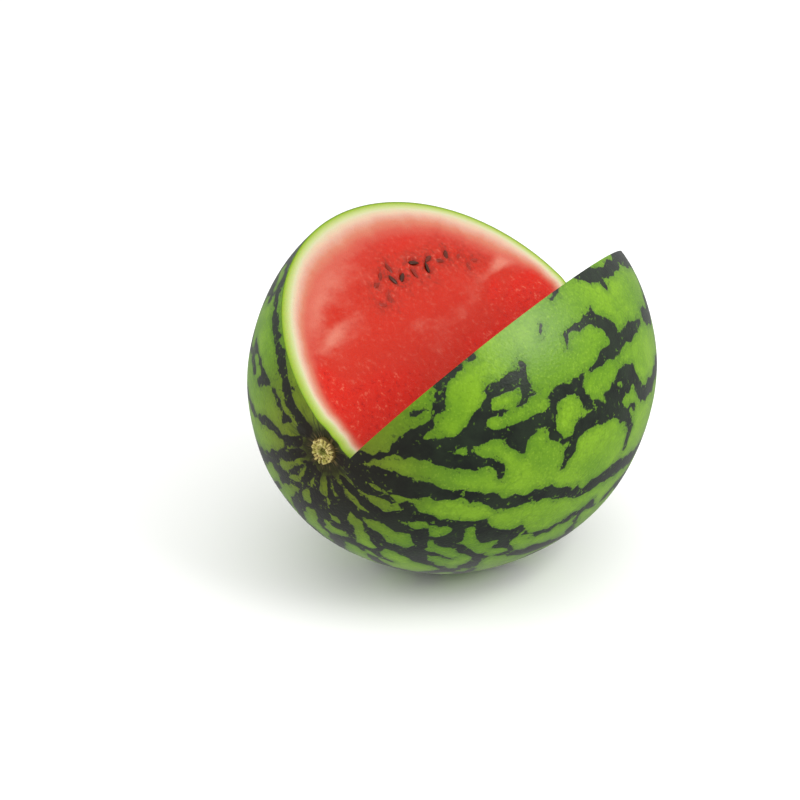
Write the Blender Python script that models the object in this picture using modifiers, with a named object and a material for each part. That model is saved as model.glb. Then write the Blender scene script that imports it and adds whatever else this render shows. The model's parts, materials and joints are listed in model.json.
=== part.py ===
"""A striped watermelon with one lengthwise quarter cut out of its top, resting on a small flat spot.

Metres, +Z up. The long axis lies along Y with the stem end at -Y, the notch opens upwards and the
flat spot lies on Z = 0. One solid is the fruit, one its stem stub, and each seed that shows in the
two cut faces is a solid of its own in its own pocket.
"""

import math

import bmesh
import bpy
from mathutils import Matrix, Vector

MM = 0.001

# The fruit, a slightly long spheroid with a shallow dimple at each end.
MELON_RADIUS = 115 * MM
MELON_HALF_LENGTH = 130 * MM
END_DIMPLE_DEPTH = 4 * MM
END_DIMPLE_RADIUS = 14 * MM
REST_SPOT_RADIUS = 30 * MM

# The two knife cuts. Tilt turns a cut's face about Y from level, swing turns it towards the blossom
# end, and offset is the distance of its plane from the fruit's centre along the face's normal.
LEFT_CUT_TILT = math.radians(40.3)
LEFT_CUT_SWING = math.radians(-0.3)
LEFT_CUT_OFFSET = 12.1 * MM
RIGHT_CUT_TILT = math.radians(-48.5)
RIGHT_CUT_SWING = math.radians(-2.1)
RIGHT_CUT_OFFSET = -8.1 * MM

# The corky stub where the stem broke off.
STUB_RADIUS = 7.2 * MM
STUB_SEAT_DEPTH = 3.5 * MM
STUB_PROUD = 3.2 * MM
STUB_EDGE_ROUND = 1.4 * MM

# A flat, pointed seed, how far its middle lies under the cut face and the room between seeds.
SEED_LENGTH = 8.0 * MM
SEED_WIDTH = 5.0 * MM
SEED_THICKNESS = 2.2 * MM
SEED_TAPER = 0.3
SEED_SINK = 0.3 * MM
SEED_SPACING = 0.6 * MM

FIT_GAP = 0.3 * MM

# Smoothness of the solids.
AROUND_STEPS = 60
PROFILE_STEPS = 44
STUB_SIDES = 24
SEED_SEGMENTS = 10
SEED_RINGS = 6

# Where each cut face's band of seeds is centred, as shares of the half length along the notch and of
# the radius up the face, from the middle of the notch's bottom line. Along runs to the blossom end
# on the left face and to the stem end on the right face.
LEFT_BAND = (0.15, 0.6)
RIGHT_BAND = (0.05, 0.6)

# Each seed: its steps along and up from the band's centre, then its turn on the face and its lean,
# in degrees.
LEFT_SEEDS = (
    (-1.42, 0.19, 28, 14),
    (0.58, 0.70, -22, -12),
    (1.41, -0.10, 60, 18),
    (2.16, 0.43, 10, -10),
    (2.98, -0.17, -30, 12),
    (3.93, 0.03, 45, -16),
    (4.93, -0.57, 20, 10),
    (6.05, -1.34, -15, -14),
    (5.10, -1.53, 70, 12),
    (-1.93, 1.23, 80, -18),
    (-3.14, 1.01, 35, 12),
    (-2.38, 0.42, 100, -10),
    (-4.01, 0.58, 5, 16),
    (-3.94, -0.60, 55, -14),
    (-4.88, -0.80, -35, 10),
    (-0.07, 0.03, 85, 14),
)
RIGHT_SEEDS = (
    (-5.74, -0.27, 30, 12),
    (-4.38, 0.53, -20, -14),
    (-3.02, 0.0, 65, 10),
    (-1.66, 0.80, 15, -12),
    (-0.30, -0.13, -40, 16),
    (0.91, 0.67, 75, -10),
    (2.27, 0.14, 25, 14),
    (3.63, -0.53, -10, -16),
    (4.69, 0.27, 50, 12),
    (6.05, -0.93, 5, -12),
)

BEYOND = 2 * (MELON_RADIUS + MELON_HALF_LENGTH)
SEED_STEP = SEED_LENGTH + SEED_SPACING
CENTRE_HEIGHT = math.sqrt(MELON_RADIUS**2 - REST_SPOT_RADIUS**2)


def clear_scene():
    for obj in list(bpy.data.objects):
        bpy.data.objects.remove(obj)


def new_collection(name, hidden=False):
    collection = bpy.data.collections.new(name)
    collection.hide_render = hidden
    bpy.context.scene.collection.children.link(collection)
    return collection


def new_material(name, colour, roughness):
    material = bpy.data.materials.new(name)
    material.use_nodes = True
    shader = material.node_tree.nodes["Principled BSDF"]
    shader.inputs["Base Color"].default_value = (*colour, 1)
    shader.inputs["Roughness"].default_value = roughness
    shader.inputs["Metallic"].default_value = 0
    return material


def add_object(name, form, collection, root, material, place=None):
    """A mesh object made from a bmesh, parented to the fruit's centre."""
    mesh = bpy.data.meshes.new(name)
    form.to_mesh(mesh)
    form.free()
    mesh.materials.append(material)
    obj = bpy.data.objects.new(name, mesh)
    obj.parent = root
    obj.matrix_basis = place or Matrix.Identity(4)
    if collection.hide_render:
        obj.hide_render = True
        obj.display_type = "WIRE"
    collection.objects.link(obj)
    return obj


def boolean(target, other, operation="DIFFERENCE"):
    modifier = target.modifiers.new(f"{operation.lower()}_{other.name}", "BOOLEAN")
    modifier.operation = operation
    modifier.solver = "EXACT"
    modifier.material_mode = "TRANSFER"
    modifier.object = other


def melon_outline():
    """The half outline of the fruit, from the stem end's centre to the blossom end's."""
    points = []
    for step in range(PROFILE_STEPS + 1):
        angle = math.pi * step / PROFILE_STEPS
        radius = 0.0 if step in (0, PROFILE_STEPS) else MELON_RADIUS * math.sin(angle)
        along = -MELON_HALF_LENGTH * math.cos(angle)
        dimple = END_DIMPLE_DEPTH * math.exp(-((radius / END_DIMPLE_RADIUS) ** 2))
        points.append((radius, along - math.copysign(dimple, along), 0))
    return points


def add_melon(collection, root, material):
    outline = bmesh.new()
    points = [outline.verts.new(point) for point in melon_outline()]
    for first, second in zip(points, points[1:]):
        outline.edges.new((first, second))
    melon = add_object("melon_body", outline, collection, root, material)
    turn = melon.modifiers.new("turn", "SCREW")
    turn.axis = "Y"
    turn.angle = math.tau
    turn.steps = turn.render_steps = AROUND_STEPS
    turn.use_merge_vertices = True
    turn.merge_threshold = 0.01 * MM
    turn.use_normal_flip = True
    return melon


def cut_turn(tilt, swing):
    return Matrix.Rotation(tilt, 3, "Y") @ Matrix.Rotation(-swing, 3, "X")


def add_knife_side(name, tilt, swing, offset, cutters, root, material):
    """All that lies outside one cut's plane, as a big block."""
    block = bmesh.new()
    bmesh.ops.create_cube(block, size=2)
    middle = cut_normal(tilt, swing) * (offset + BEYOND)
    place = Matrix.Translation(middle) @ cut_turn(tilt, swing).to_4x4()
    bmesh.ops.scale(block, vec=(BEYOND, BEYOND, BEYOND), verts=block.verts)
    return add_object(name, block, cutters, root, material, place)


def cut_normal(tilt, swing):
    return cut_turn(tilt, swing) @ Vector((0, 0, 1))


def face_frame(normal):
    """A cut face's own frame: X along the notch, Y up the face, Z out of it, from the bottom line."""
    left = cut_normal(LEFT_CUT_TILT, LEFT_CUT_SWING)
    right = cut_normal(RIGHT_CUT_TILT, RIGHT_CUT_SWING)
    along = left.cross(right).normalized()
    up = normal.cross(along)
    if up.z < 0:
        along, up = -along, -up
    planes = Matrix((left, right, (0, 1, 0)))
    bottom = planes.inverted() @ Vector((LEFT_CUT_OFFSET, RIGHT_CUT_OFFSET, 0))
    return Matrix.Translation(bottom) @ Matrix((along, up, normal)).transposed().to_4x4()


def seed_form(allowance):
    """A flat seed, blunt at one end and drawn in at the other, grown by an allowance all round."""
    form = bmesh.new()
    turned = Matrix.Rotation(math.pi / 2, 4, "Y")
    bmesh.ops.create_uvsphere(
        form, u_segments=SEED_SEGMENTS, v_segments=SEED_RINGS, radius=1, matrix=turned
    )
    for point in form.verts:
        narrowing = 1 - SEED_TAPER * (point.co.x + 1) / 2
        point.co.x *= SEED_LENGTH / 2 + allowance
        point.co.y *= SEED_WIDTH / 2 * narrowing + allowance
        point.co.z *= SEED_THICKNESS / 2 * narrowing + allowance
    return form


def add_seeds(name, seeds, band, normal, collections, root, materials):
    """One cut face's seeds, and a cutter that holds their pockets."""
    parts, cutters = collections
    seed_material, flesh_material = materials
    frame = face_frame(normal)
    centre = Vector((band[0] * MELON_HALF_LENGTH, band[1] * MELON_RADIUS, -SEED_SINK))
    pockets = bmesh.new()
    for number, (along, up, turn, lean) in enumerate(seeds, 1):
        spot = centre + Vector((along, up, 0)) * SEED_STEP
        turned = Matrix.Rotation(math.radians(turn), 4, "Z")
        leaned = Matrix.Rotation(math.radians(lean), 4, "X")
        place = frame @ Matrix.Translation(spot) @ turned @ leaned
        add_object(f"{name}_{number:02d}", seed_form(0), parts, root, seed_material, place)
        pocket = seed_form(FIT_GAP)
        pocket.transform(place)
        mesh = bpy.data.meshes.new("pocket")
        pocket.to_mesh(mesh)
        pocket.free()
        pockets.from_mesh(mesh)
        bpy.data.meshes.remove(mesh)
    return add_object(f"{name}_pockets", pockets, cutters, root, flesh_material)


def peg_form(radius, length):
    form = bmesh.new()
    turned = Matrix.Rotation(math.pi / 2, 4, "X")
    bmesh.ops.create_cone(
        form,
        cap_ends=True,
        segments=STUB_SIDES,
        radius1=radius,
        radius2=radius,
        depth=length,
        matrix=turned,
    )
    return form


def add_stub(collection, cutters, root, stub_material, rind_material):
    """The stem stub, seated in the stem end's dimple, and the cutter of its seat."""
    dimple_floor = END_DIMPLE_DEPTH - MELON_HALF_LENGTH
    length = STUB_SEAT_DEPTH + STUB_PROUD
    middle = dimple_floor + STUB_SEAT_DEPTH - length / 2
    stub = add_object(
        "stem_stub",
        peg_form(STUB_RADIUS, length),
        collection,
        root,
        stub_material,
        Matrix.Translation((0, middle, 0)),
    )
    rounding = stub.modifiers.new("rounding", "BEVEL")
    rounding.width = STUB_EDGE_ROUND
    rounding.segments = 3
    rounding.limit_method = "ANGLE"
    seat_length = 2 * (STUB_SEAT_DEPTH + FIT_GAP)
    return add_object(
        "stub_seat",
        peg_form(STUB_RADIUS + FIT_GAP, seat_length),
        cutters,
        root,
        rind_material,
        Matrix.Translation((0, dimple_floor, 0)),
    )


def add_ground_block(cutters, root, material):
    """All that lies below the resting plane."""
    block = bmesh.new()
    bmesh.ops.create_cube(block, size=2)
    bmesh.ops.scale(block, vec=(BEYOND, BEYOND, BEYOND), verts=block.verts)
    place = Matrix.Translation((0, 0, -CENTRE_HEIGHT - BEYOND))
    return add_object("ground_block", block, cutters, root, material, place)


def main():
    clear_scene()
    parts = new_collection("watermelon")
    cutters = new_collection("cutters", hidden=True)
    root = bpy.data.objects.new("melon_centre", None)
    root.location = (0, 0, CENTRE_HEIGHT)
    parts.objects.link(root)

    rind = new_material("rind", (0.16, 0.36, 0.04), 0.35)
    flesh = new_material("flesh", (0.72, 0.07, 0.05), 0.4)
    cork = new_material("stem_cork", (0.52, 0.42, 0.22), 0.75)
    seed_coat = new_material("seed_coat", (0.03, 0.017, 0.01), 0.3)

    melon = add_melon(parts, root, rind)
    notch = add_knife_side(
        "notch", LEFT_CUT_TILT, LEFT_CUT_SWING, LEFT_CUT_OFFSET, cutters, root, flesh
    )
    second_cut = add_knife_side(
        "second_cut", RIGHT_CUT_TILT, RIGHT_CUT_SWING, RIGHT_CUT_OFFSET, cutters, root, flesh
    )
    boolean(notch, second_cut, "INTERSECT")
    boolean(melon, notch)
    boolean(melon, add_ground_block(cutters, root, rind))
    boolean(melon, add_stub(parts, cutters, root, cork, rind))
    sides = (
        ("seed_left", LEFT_SEEDS, LEFT_BAND, cut_normal(LEFT_CUT_TILT, LEFT_CUT_SWING)),
        ("seed_right", RIGHT_SEEDS, RIGHT_BAND, cut_normal(RIGHT_CUT_TILT, RIGHT_CUT_SWING)),
    )
    for name, seeds, band, normal in sides:
        pockets = add_seeds(
            name, seeds, band, normal, (parts, cutters), root, (seed_coat, flesh)
        )
        boolean(melon, pockets)


main()
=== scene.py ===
"""The looks of a striped watermelon with a quarter cut out of its top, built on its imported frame.

Metres, +Z up, the stem end at -Y. The body, its seeds and its stem stub take their places and sizes
from the frame. Angles round the fruit's long axis are called turns, from +X over the top, and angles
from the stem end to the blossom end are called dips; both are in degrees.
"""

import json
import logging
import math
from dataclasses import dataclass
from enum import Enum
from typing import Any

import bmesh
import bpy
import numpy as np
from mathutils import Matrix, Vector

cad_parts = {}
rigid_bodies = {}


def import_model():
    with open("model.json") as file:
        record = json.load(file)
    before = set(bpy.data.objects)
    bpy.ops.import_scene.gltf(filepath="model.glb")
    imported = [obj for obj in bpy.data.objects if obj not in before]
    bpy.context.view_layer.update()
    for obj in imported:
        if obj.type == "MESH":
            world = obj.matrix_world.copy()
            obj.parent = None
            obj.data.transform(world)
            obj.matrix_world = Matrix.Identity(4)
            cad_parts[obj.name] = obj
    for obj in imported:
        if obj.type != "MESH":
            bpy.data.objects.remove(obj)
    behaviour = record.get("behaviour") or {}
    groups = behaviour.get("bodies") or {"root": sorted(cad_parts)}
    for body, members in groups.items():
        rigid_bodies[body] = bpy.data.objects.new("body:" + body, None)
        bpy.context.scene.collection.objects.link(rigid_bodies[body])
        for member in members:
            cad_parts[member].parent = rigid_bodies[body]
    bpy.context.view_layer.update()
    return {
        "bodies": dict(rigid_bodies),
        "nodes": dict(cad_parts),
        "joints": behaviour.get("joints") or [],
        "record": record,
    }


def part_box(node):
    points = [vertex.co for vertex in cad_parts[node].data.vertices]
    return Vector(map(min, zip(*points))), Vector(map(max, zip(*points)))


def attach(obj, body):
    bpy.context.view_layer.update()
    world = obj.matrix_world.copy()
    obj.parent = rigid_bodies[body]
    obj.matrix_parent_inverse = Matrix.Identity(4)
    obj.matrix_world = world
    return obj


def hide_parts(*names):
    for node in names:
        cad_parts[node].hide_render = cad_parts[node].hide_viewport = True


MM = 0.001
log = logging.getLogger("watermelon")

Pair = tuple[float, float]
Place = tuple[float, float, float]
Colour = tuple[float, float, float, float]


class Slot(Enum):
    """The record's material slots."""

    BODY = "rind_and_flesh"
    STEM = "stem_cork"
    SEED = "seed_coat"


def tint(red: float, green: float, blue: float) -> Colour:
    """A linear colour from display values of 0 to 255.

    Args:
        red, green, blue: the display values.

    Returns:
        The colour with full alpha.
    """
    values = (red / 255, green / 255, blue / 255)
    linear = [v / 12.92 if v <= 0.04045 else ((v + 0.055) / 1.055) ** 2.4 for v in values]
    return (*linear, 1.0)


# ---------------------------------------------------------------------------------------------
# Nodes


class Wire:
    """A node's output, on which Python's arithmetic adds Math nodes."""

    def __init__(self, nodes: "Nodes", socket: bpy.types.NodeSocket) -> None:
        """Wraps one output socket of a tree."""
        self.nodes = nodes
        self.socket = socket

    def maths(self, operation: str, *values: Any) -> "Wire":
        """Adds a Math node.

        Args:
            operation: the node's operation.
            values: its inputs, numbers or wires.

        Returns:
            The result.
        """
        return self.nodes.add("ShaderNodeMath", {"operation": operation}, dict(enumerate(values)))

    def __add__(self, other: Any) -> "Wire":
        """Adds."""
        return self.maths("ADD", self, other)

    def __radd__(self, other: Any) -> "Wire":
        """Adds, reflected."""
        return self.maths("ADD", other, self)

    def __sub__(self, other: Any) -> "Wire":
        """Subtracts."""
        return self.maths("SUBTRACT", self, other)

    def __rsub__(self, other: Any) -> "Wire":
        """Subtracts, reflected."""
        return self.maths("SUBTRACT", other, self)

    def __mul__(self, other: Any) -> "Wire":
        """Multiplies."""
        return self.maths("MULTIPLY", self, other)

    def __rmul__(self, other: Any) -> "Wire":
        """Multiplies, reflected."""
        return self.maths("MULTIPLY", other, self)

    def __truediv__(self, other: Any) -> "Wire":
        """Divides."""
        return self.maths("DIVIDE", self, other)

    def __rtruediv__(self, other: Any) -> "Wire":
        """Divides, reflected."""
        return self.maths("DIVIDE", other, self)

    def at_least(self, floor: Any) -> "Wire":
        """The larger of this and a floor."""
        return self.maths("MAXIMUM", self, floor)

    def at_most(self, ceiling: Any) -> "Wire":
        """The smaller of this and a ceiling."""
        return self.maths("MINIMUM", self, ceiling)

    def rise(self, low: float, high: float, top: float = 1.0) -> "Wire":
        """A smooth climb.

        Args:
            low: where the climb starts from 0.
            high: where it ends.
            top: its value there.

        Returns:
            A value from 0 to top.
        """
        inputs = {0: self, 1: low, 2: high, 3: 0.0, 4: top}
        return self.nodes.add("ShaderNodeMapRange", {"interpolation_type": "SMOOTHSTEP"}, inputs)


class Nodes:
    """A node tree, with one method that adds any node."""

    def __init__(self, tree: bpy.types.NodeTree) -> None:
        """Wraps a tree."""
        self.tree = tree

    def add(
        self,
        kind: str,
        settings: dict[str, Any] | None = None,
        inputs: dict[int | str, Any] | None = None,
        output: int | str = 0,
    ) -> Wire | None:
        """Adds a node.

        Args:
            kind: the node's type.
            settings: its properties, set first. A ramp's "stops" are (place, colour) pairs.
            inputs: values or wires for its sockets, by number or name.
            output: the output to return.

        Returns:
            That output as a wire, or None for a node that has none.
        """
        node = self.tree.nodes.new(kind)
        for name, value in (settings or {}).items():
            if name == "stops":
                self.set_stops(node.color_ramp, value)
            else:
                setattr(node, name, value)
        for name, value in (inputs or {}).items():
            if isinstance(value, Wire):
                self.tree.links.new(value.socket, node.inputs[name])
            else:
                node.inputs[name].default_value = value
        return Wire(self, node.outputs[output]) if len(node.outputs) else None

    @staticmethod
    def set_stops(ramp: bpy.types.ColorRamp, stops: tuple) -> None:
        """Gives a colour ramp its stops.

        Args:
            ramp: the ramp.
            stops: their (place, colour) pairs.
        """
        while len(ramp.elements) > 1:
            ramp.elements.remove(ramp.elements[-1])
        ramp.elements[0].position, ramp.elements[0].color = stops[0]
        for place, colour in stops[1:]:
            ramp.elements.new(place).color = colour

    def noise(self, place: Wire, size: float, detail: float = 2.0, roughness: float = 0.5) -> Wire:
        """Noise centred on 0.

        Args:
            place: the coordinates, in metres.
            size: the size of its lumps, in metres.
            detail: its octaves.
            roughness: how strong the finer octaves are.

        Returns:
            A value of about -0.5 to 0.5.
        """
        inputs = {"Vector": place, "Scale": 1 / size, "Detail": detail, "Roughness": roughness}
        return self.add("ShaderNodeTexNoise", None, inputs) - 0.5

    def cells(self, place: Wire, size: float, feature: str = "F1") -> Wire:
        """Distance in a pattern of cells, as a share of their size.

        Args:
            place: the coordinates, in metres.
            size: the size of the cells, in metres.
            feature: what the distance is taken to.

        Returns:
            The distance.
        """
        inputs = {"Vector": place, "Scale": 1 / size}
        return self.add("ShaderNodeTexVoronoi", {"feature": feature}, inputs)

    def blend(self, factor: Any, first: Any, second: Any) -> Wire:
        """Mixes two colours.

        Args:
            factor: the share of the second.
            first, second: colours or wires.

        Returns:
            The mixed colour.
        """
        settings = {"data_type": "RGBA", "clamp_factor": True}
        return self.add("ShaderNodeMix", settings, {0: factor, 6: first, 7: second}, 2)

    def layered(self, base: Any, *touches: tuple[Any, Any]) -> Wire:
        """Lays touches of colour over a base, one after another.

        Args:
            base: the colour underneath.
            touches: how much of each colour is laid, and the colour.

        Returns:
            The mixed colour.
        """
        for amount, colour in touches:
            base = self.blend(amount, base, colour)
        return base

    def vector(self, operation: str, *values: Any, output: int | str = 0) -> Wire:
        """Adds a Vector Math node."""
        inputs = dict(enumerate(values))
        return self.add("ShaderNodeVectorMath", {"operation": operation}, inputs, output)

    def attribute(self, name: str) -> Wire:
        """A number that the mesh holds at each point."""
        return self.add("ShaderNodeAttribute", {"attribute_name": name}, None, "Fac")

    def own_place(self) -> Wire:
        """Coordinates on the piece itself, in metres."""
        return self.add("ShaderNodeTexCoord", None, None, "Object")


@dataclass(frozen=True)
class Finish:
    """A material whose sub-classes say how it is coloured.

    The fields are the shader's settings that are the same all over the surface. Light that gets under
    the surface spreads by under_skin_depth, times under_skin_tint for red, green and blue.
    """

    name: str
    coat: float = 0.0
    coat_roughness: float = 0.2
    specular: float = 0.5
    under_skin: float = 0.0
    under_skin_depth: float = 3 * MM
    under_skin_tint: tuple[float, float, float] = (1.0, 0.28, 0.18)

    def colour(self, nodes: Nodes) -> dict[str, Any]:
        """Colours the surface.

        Args:
            nodes: the material's tree.

        Returns:
            The shader inputs that vary over the surface.
        """
        raise NotImplementedError

    def build(self) -> bpy.types.Material:
        """Makes the material.

        Returns:
            The material.
        """
        material = bpy.data.materials.new(self.name)
        material.use_nodes = True
        nodes = Nodes(material.node_tree)
        nodes.tree.nodes.clear()
        inputs = {
            "Coat Weight": self.coat,
            "Coat Roughness": self.coat_roughness,
            "Specular IOR Level": self.specular,
            "Subsurface Weight": self.under_skin,
            "Subsurface Radius": self.under_skin_tint,
            "Subsurface Scale": self.under_skin_depth,
        }
        inputs.update(self.colour(nodes))
        shader = nodes.add("ShaderNodeBsdfPrincipled", None, inputs)
        nodes.add("ShaderNodeOutputMaterial", None, {"Surface": shader})
        return material


def bump(nodes: Nodes, height: Wire, depth: float) -> Wire:
    """A bump for a shader's normal.

    Args:
        nodes: the tree.
        height: the height, where 1 stands for the whole depth.
        depth: that depth, in metres.

    Returns:
        The normal.
    """
    return nodes.add("ShaderNodeBump", None, {"Distance": depth, "Height": height}, "Normal")


@dataclass(frozen=True)
class SkinFinish(Finish):
    """Waxy striped skin, olive and streaky round the stem, with a corky scar at the blossom end.

    The mesh's "band" is how far inside a dark band a point is, in mm, and the depths say how many mm
    each noise moves a band's edge; one band near the stem is painted shadow. The sizes are those of the
    pattern's lumps, and streak_share is a share of the distance from the stem. A reach is where a mark
    starts and where it is full, as a distance from the fruit's end. The olive round the stem is partly
    the skin's own tone and partly painted shade.
    """

    stem_end: Place = (0.0, 0.0, 0.0)
    blossom_end: Place = (0.0, 0.0, 0.0)
    scallop_size: float = 8.5 * MM
    scallop_depth: float = 4.6
    ragged_size: float = 13 * MM
    ragged_depth: float = 3.4
    frayed_size: float = 3.4 * MM
    frayed_depth: float = 1.8
    tooth_size: float = 1.1 * MM
    tooth_depth: float = 0.9
    swelling: float = 0.1
    fleck_size: float = 1.9 * MM
    island_size: float = 2.6 * MM
    cloud_size: float = 34 * MM
    grain_size: float = 1.5 * MM
    vein_size: float = 4.6 * MM
    vein_wander: float = 3.0 * MM
    pore_size: float = 1.7 * MM
    gloss_size: float = 22 * MM
    streak_share: float = 0.11
    # The olive round the stem is partly the skin's own tone and partly painted shade.
    olive_and_shade_reach: Pair = (80 * MM, 18 * MM)
    ray_reach: Pair = (34 * MM, 12 * MM)
    collar_reach: Pair = (21 * MM, 11 * MM)
    collar_raggedness: float = 14 * MM
    wrinkle_reach: Pair = (12.5 * MM, 8 * MM)
    blossom_reach: Pair = (12 * MM, 5 * MM)
    scar_reach: Pair = (5 * MM, 3.8 * MM)
    core_reach: Pair = (2.2 * MM, 1.2 * MM)
    relief: float = 0.2 * MM
    dull_green: Colour = tint(90, 133, 6)
    bright_green: Colour = tint(112, 154, 12)
    edge_green: Colour = tint(66, 106, 6)
    vein_green: Colour = tint(58, 98, 6)
    pale_grain: Colour = tint(142, 178, 46)
    dark_grain: Colour = tint(66, 102, 6)
    band_black: Colour = tint(12, 20, 12)
    band_green: Colour = tint(26, 38, 22)
    # Olive near the stem: partly the skin's own tone, partly painted shade.
    olive_and_shade_tint: Colour = tint(92, 98, 8)
    stem_brown: Colour = tint(27, 21, 13)
    collar_brown: Colour = tint(30, 22, 12)
    wrinkle_tan: Colour = tint(128, 108, 62)
    blossom_olive: Colour = tint(96, 100, 20)
    scar_tan: Colour = tint(122, 96, 58)
    scar_core: Colour = tint(52, 36, 20)

    def colour(self, nodes: Nodes) -> dict[str, Any]:
        """Colours the skin.

        Args:
            nodes: the material's tree.

        Returns:
            The shader inputs that vary over the surface.
        """
        place = nodes.own_place()
        ragged = nodes.noise(place, self.ragged_size, 4.0, 0.6)
        frayed = nodes.noise(place, self.frayed_size, 3.0, 0.62)
        teeth = nodes.noise(place, self.tooth_size, 2.0, 0.6)
        grainy = nodes.noise(place, self.grain_size, 3.0, 0.6)
        scallops = nodes.cells(place, self.scallop_size) - 0.42
        inside = nodes.attribute("band") + self.swelling + scallops * self.scallop_depth
        inside = inside + ragged * self.ragged_depth + frayed * self.frayed_depth
        inside = inside + teeth * self.tooth_depth
        dark = self.darkness(nodes, place, inside)
        green = self.green(nodes, place, inside, (ragged, frayed, grainy))
        deep = nodes.blend(ragged.rise(-0.2, 0.2), self.band_black, self.band_green)

        away = nodes.vector("SUBTRACT", place, self.stem_end)
        from_stem = nodes.vector("LENGTH", away, output="Value")
        streaks = nodes.noise(nodes.vector("NORMALIZE", away), self.streak_share, 3.0, 0.6)
        # Painted shade in part: olive near the stem, partly its own tone and partly painted shade; the
        # same mask browns the dark bands there.
        olive_shade_mask = from_stem.rise(*self.olive_and_shade_reach)
        rays = streaks.rise(0.0, 0.16) * from_stem.rise(*self.ray_reach)
        green = nodes.layered(green, (olive_shade_mask * 0.75, self.olive_and_shade_tint), (rays * 0.8, deep))
        deep = nodes.blend(olive_shade_mask * 0.7, deep, self.stem_brown)
        collar = (from_stem + ragged * self.collar_raggedness).rise(*self.collar_reach)
        wrinkles = streaks.rise(0.0, 0.12) * from_stem.rise(*self.wrinkle_reach)

        from_blossom = nodes.vector("DISTANCE", place, self.blossom_end, output="Value")
        from_blossom = from_blossom + (frayed * 1.6 + teeth * 1.2) * MM
        scar = from_blossom.rise(*self.scar_reach)
        skin = nodes.layered(
            green,
            (dark, deep),
            (collar * 0.9, self.collar_brown),
            (wrinkles * 0.55, self.wrinkle_tan),
            (from_blossom.rise(*self.blossom_reach) * 0.35, self.blossom_olive),
            (scar * 0.92, self.scar_tan),
            (from_blossom.rise(*self.core_reach) * 0.85, self.scar_core),
        )

        pores = nodes.cells(place, self.pore_size)
        height = grainy * 0.5 + pores * 0.25 - dark * 0.4 + ragged * 0.8
        height = height + streaks * collar * 4.0 + scar * 2.0
        cloudy_gloss = nodes.noise(place, self.gloss_size, 2.0)
        roughness = 0.37 + grainy * 0.12 + cloudy_gloss * 0.12 + collar * 0.3
        normal = bump(nodes, height, self.relief)
        return {"Base Color": skin, "Roughness": roughness, "Normal": normal}

    def darkness(self, nodes: Nodes, place: Wire, inside: Wire) -> Wire:
        """Where the dark bands are, with loose flecks outside them and green islands inside.

        Args:
            nodes: the tree.
            place: the coordinates.
            inside: how far inside a band's ragged edge a point is, in mm.

        Returns:
            1 on a band and 0 off it.
        """
        flecks = nodes.noise(place, self.fleck_size, 2.0).rise(0.1, 0.17) * inside.rise(-5.0, -0.8)
        islands = nodes.noise(place, self.island_size, 2.0).rise(0.1, 0.17) * inside.rise(4.0, 0.6)
        dark = inside.rise(-0.4, 0.45) + flecks * 0.5 - islands * 0.85
        return dark.at_least(0.0).at_most(1.0)

    def green(self, nodes: Nodes, place: Wire, inside: Wire, noises: tuple[Wire, Wire, Wire]) -> Wire:
        """The green between the bands: cloudy, veined and grainy, and deeper near a band.

        Args:
            nodes: the tree.
            place: the coordinates.
            inside: how far inside a band's ragged edge a point is, in mm.
            noises: the ragged, frayed and grainy noise.

        Returns:
            The colour.
        """
        ragged, frayed, grainy = noises
        cloudy = nodes.noise(place, self.cloud_size, 3.0).rise(-0.16, 0.16)
        jittered = nodes.vector("ADD", place, frayed * self.vein_wander)
        veins = nodes.cells(jittered, self.vein_size, "DISTANCE_TO_EDGE").rise(0.2, 0.0)
        return nodes.layered(
            self.dull_green,
            (cloudy, self.bright_green),
            (inside.rise(-5.0, -0.3) * 0.55, self.edge_green),
            (veins * ragged.rise(-0.2, 0.15) * 0.25, self.vein_green),
            (grainy.rise(0.02, 0.26, 0.4), self.pale_grain),
            (grainy.rise(-0.02, -0.26, 0.4), self.dark_grain),
        )


# The rind's layers: (share of the whole depth to pure flesh, colour), from the skin inwards.
RIND_LAYERS = (
    (0.0, tint(44, 72, 10)),
    (0.014, tint(110, 146, 24)),
    (0.035, tint(138, 166, 44)),
    (0.07, tint(160, 180, 88)),
    (0.125, tint(180, 192, 124)),
    (0.19, tint(197, 194, 156)),
    (0.26, tint(206, 177, 150)),
    (0.31, tint(202, 157, 136)),
    (0.42, tint(195, 119, 94)),
    (0.55, tint(191, 82, 64)),
    (0.72, tint(186, 48, 32)),
    (1.0, tint(185, 36, 12)),
)


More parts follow.
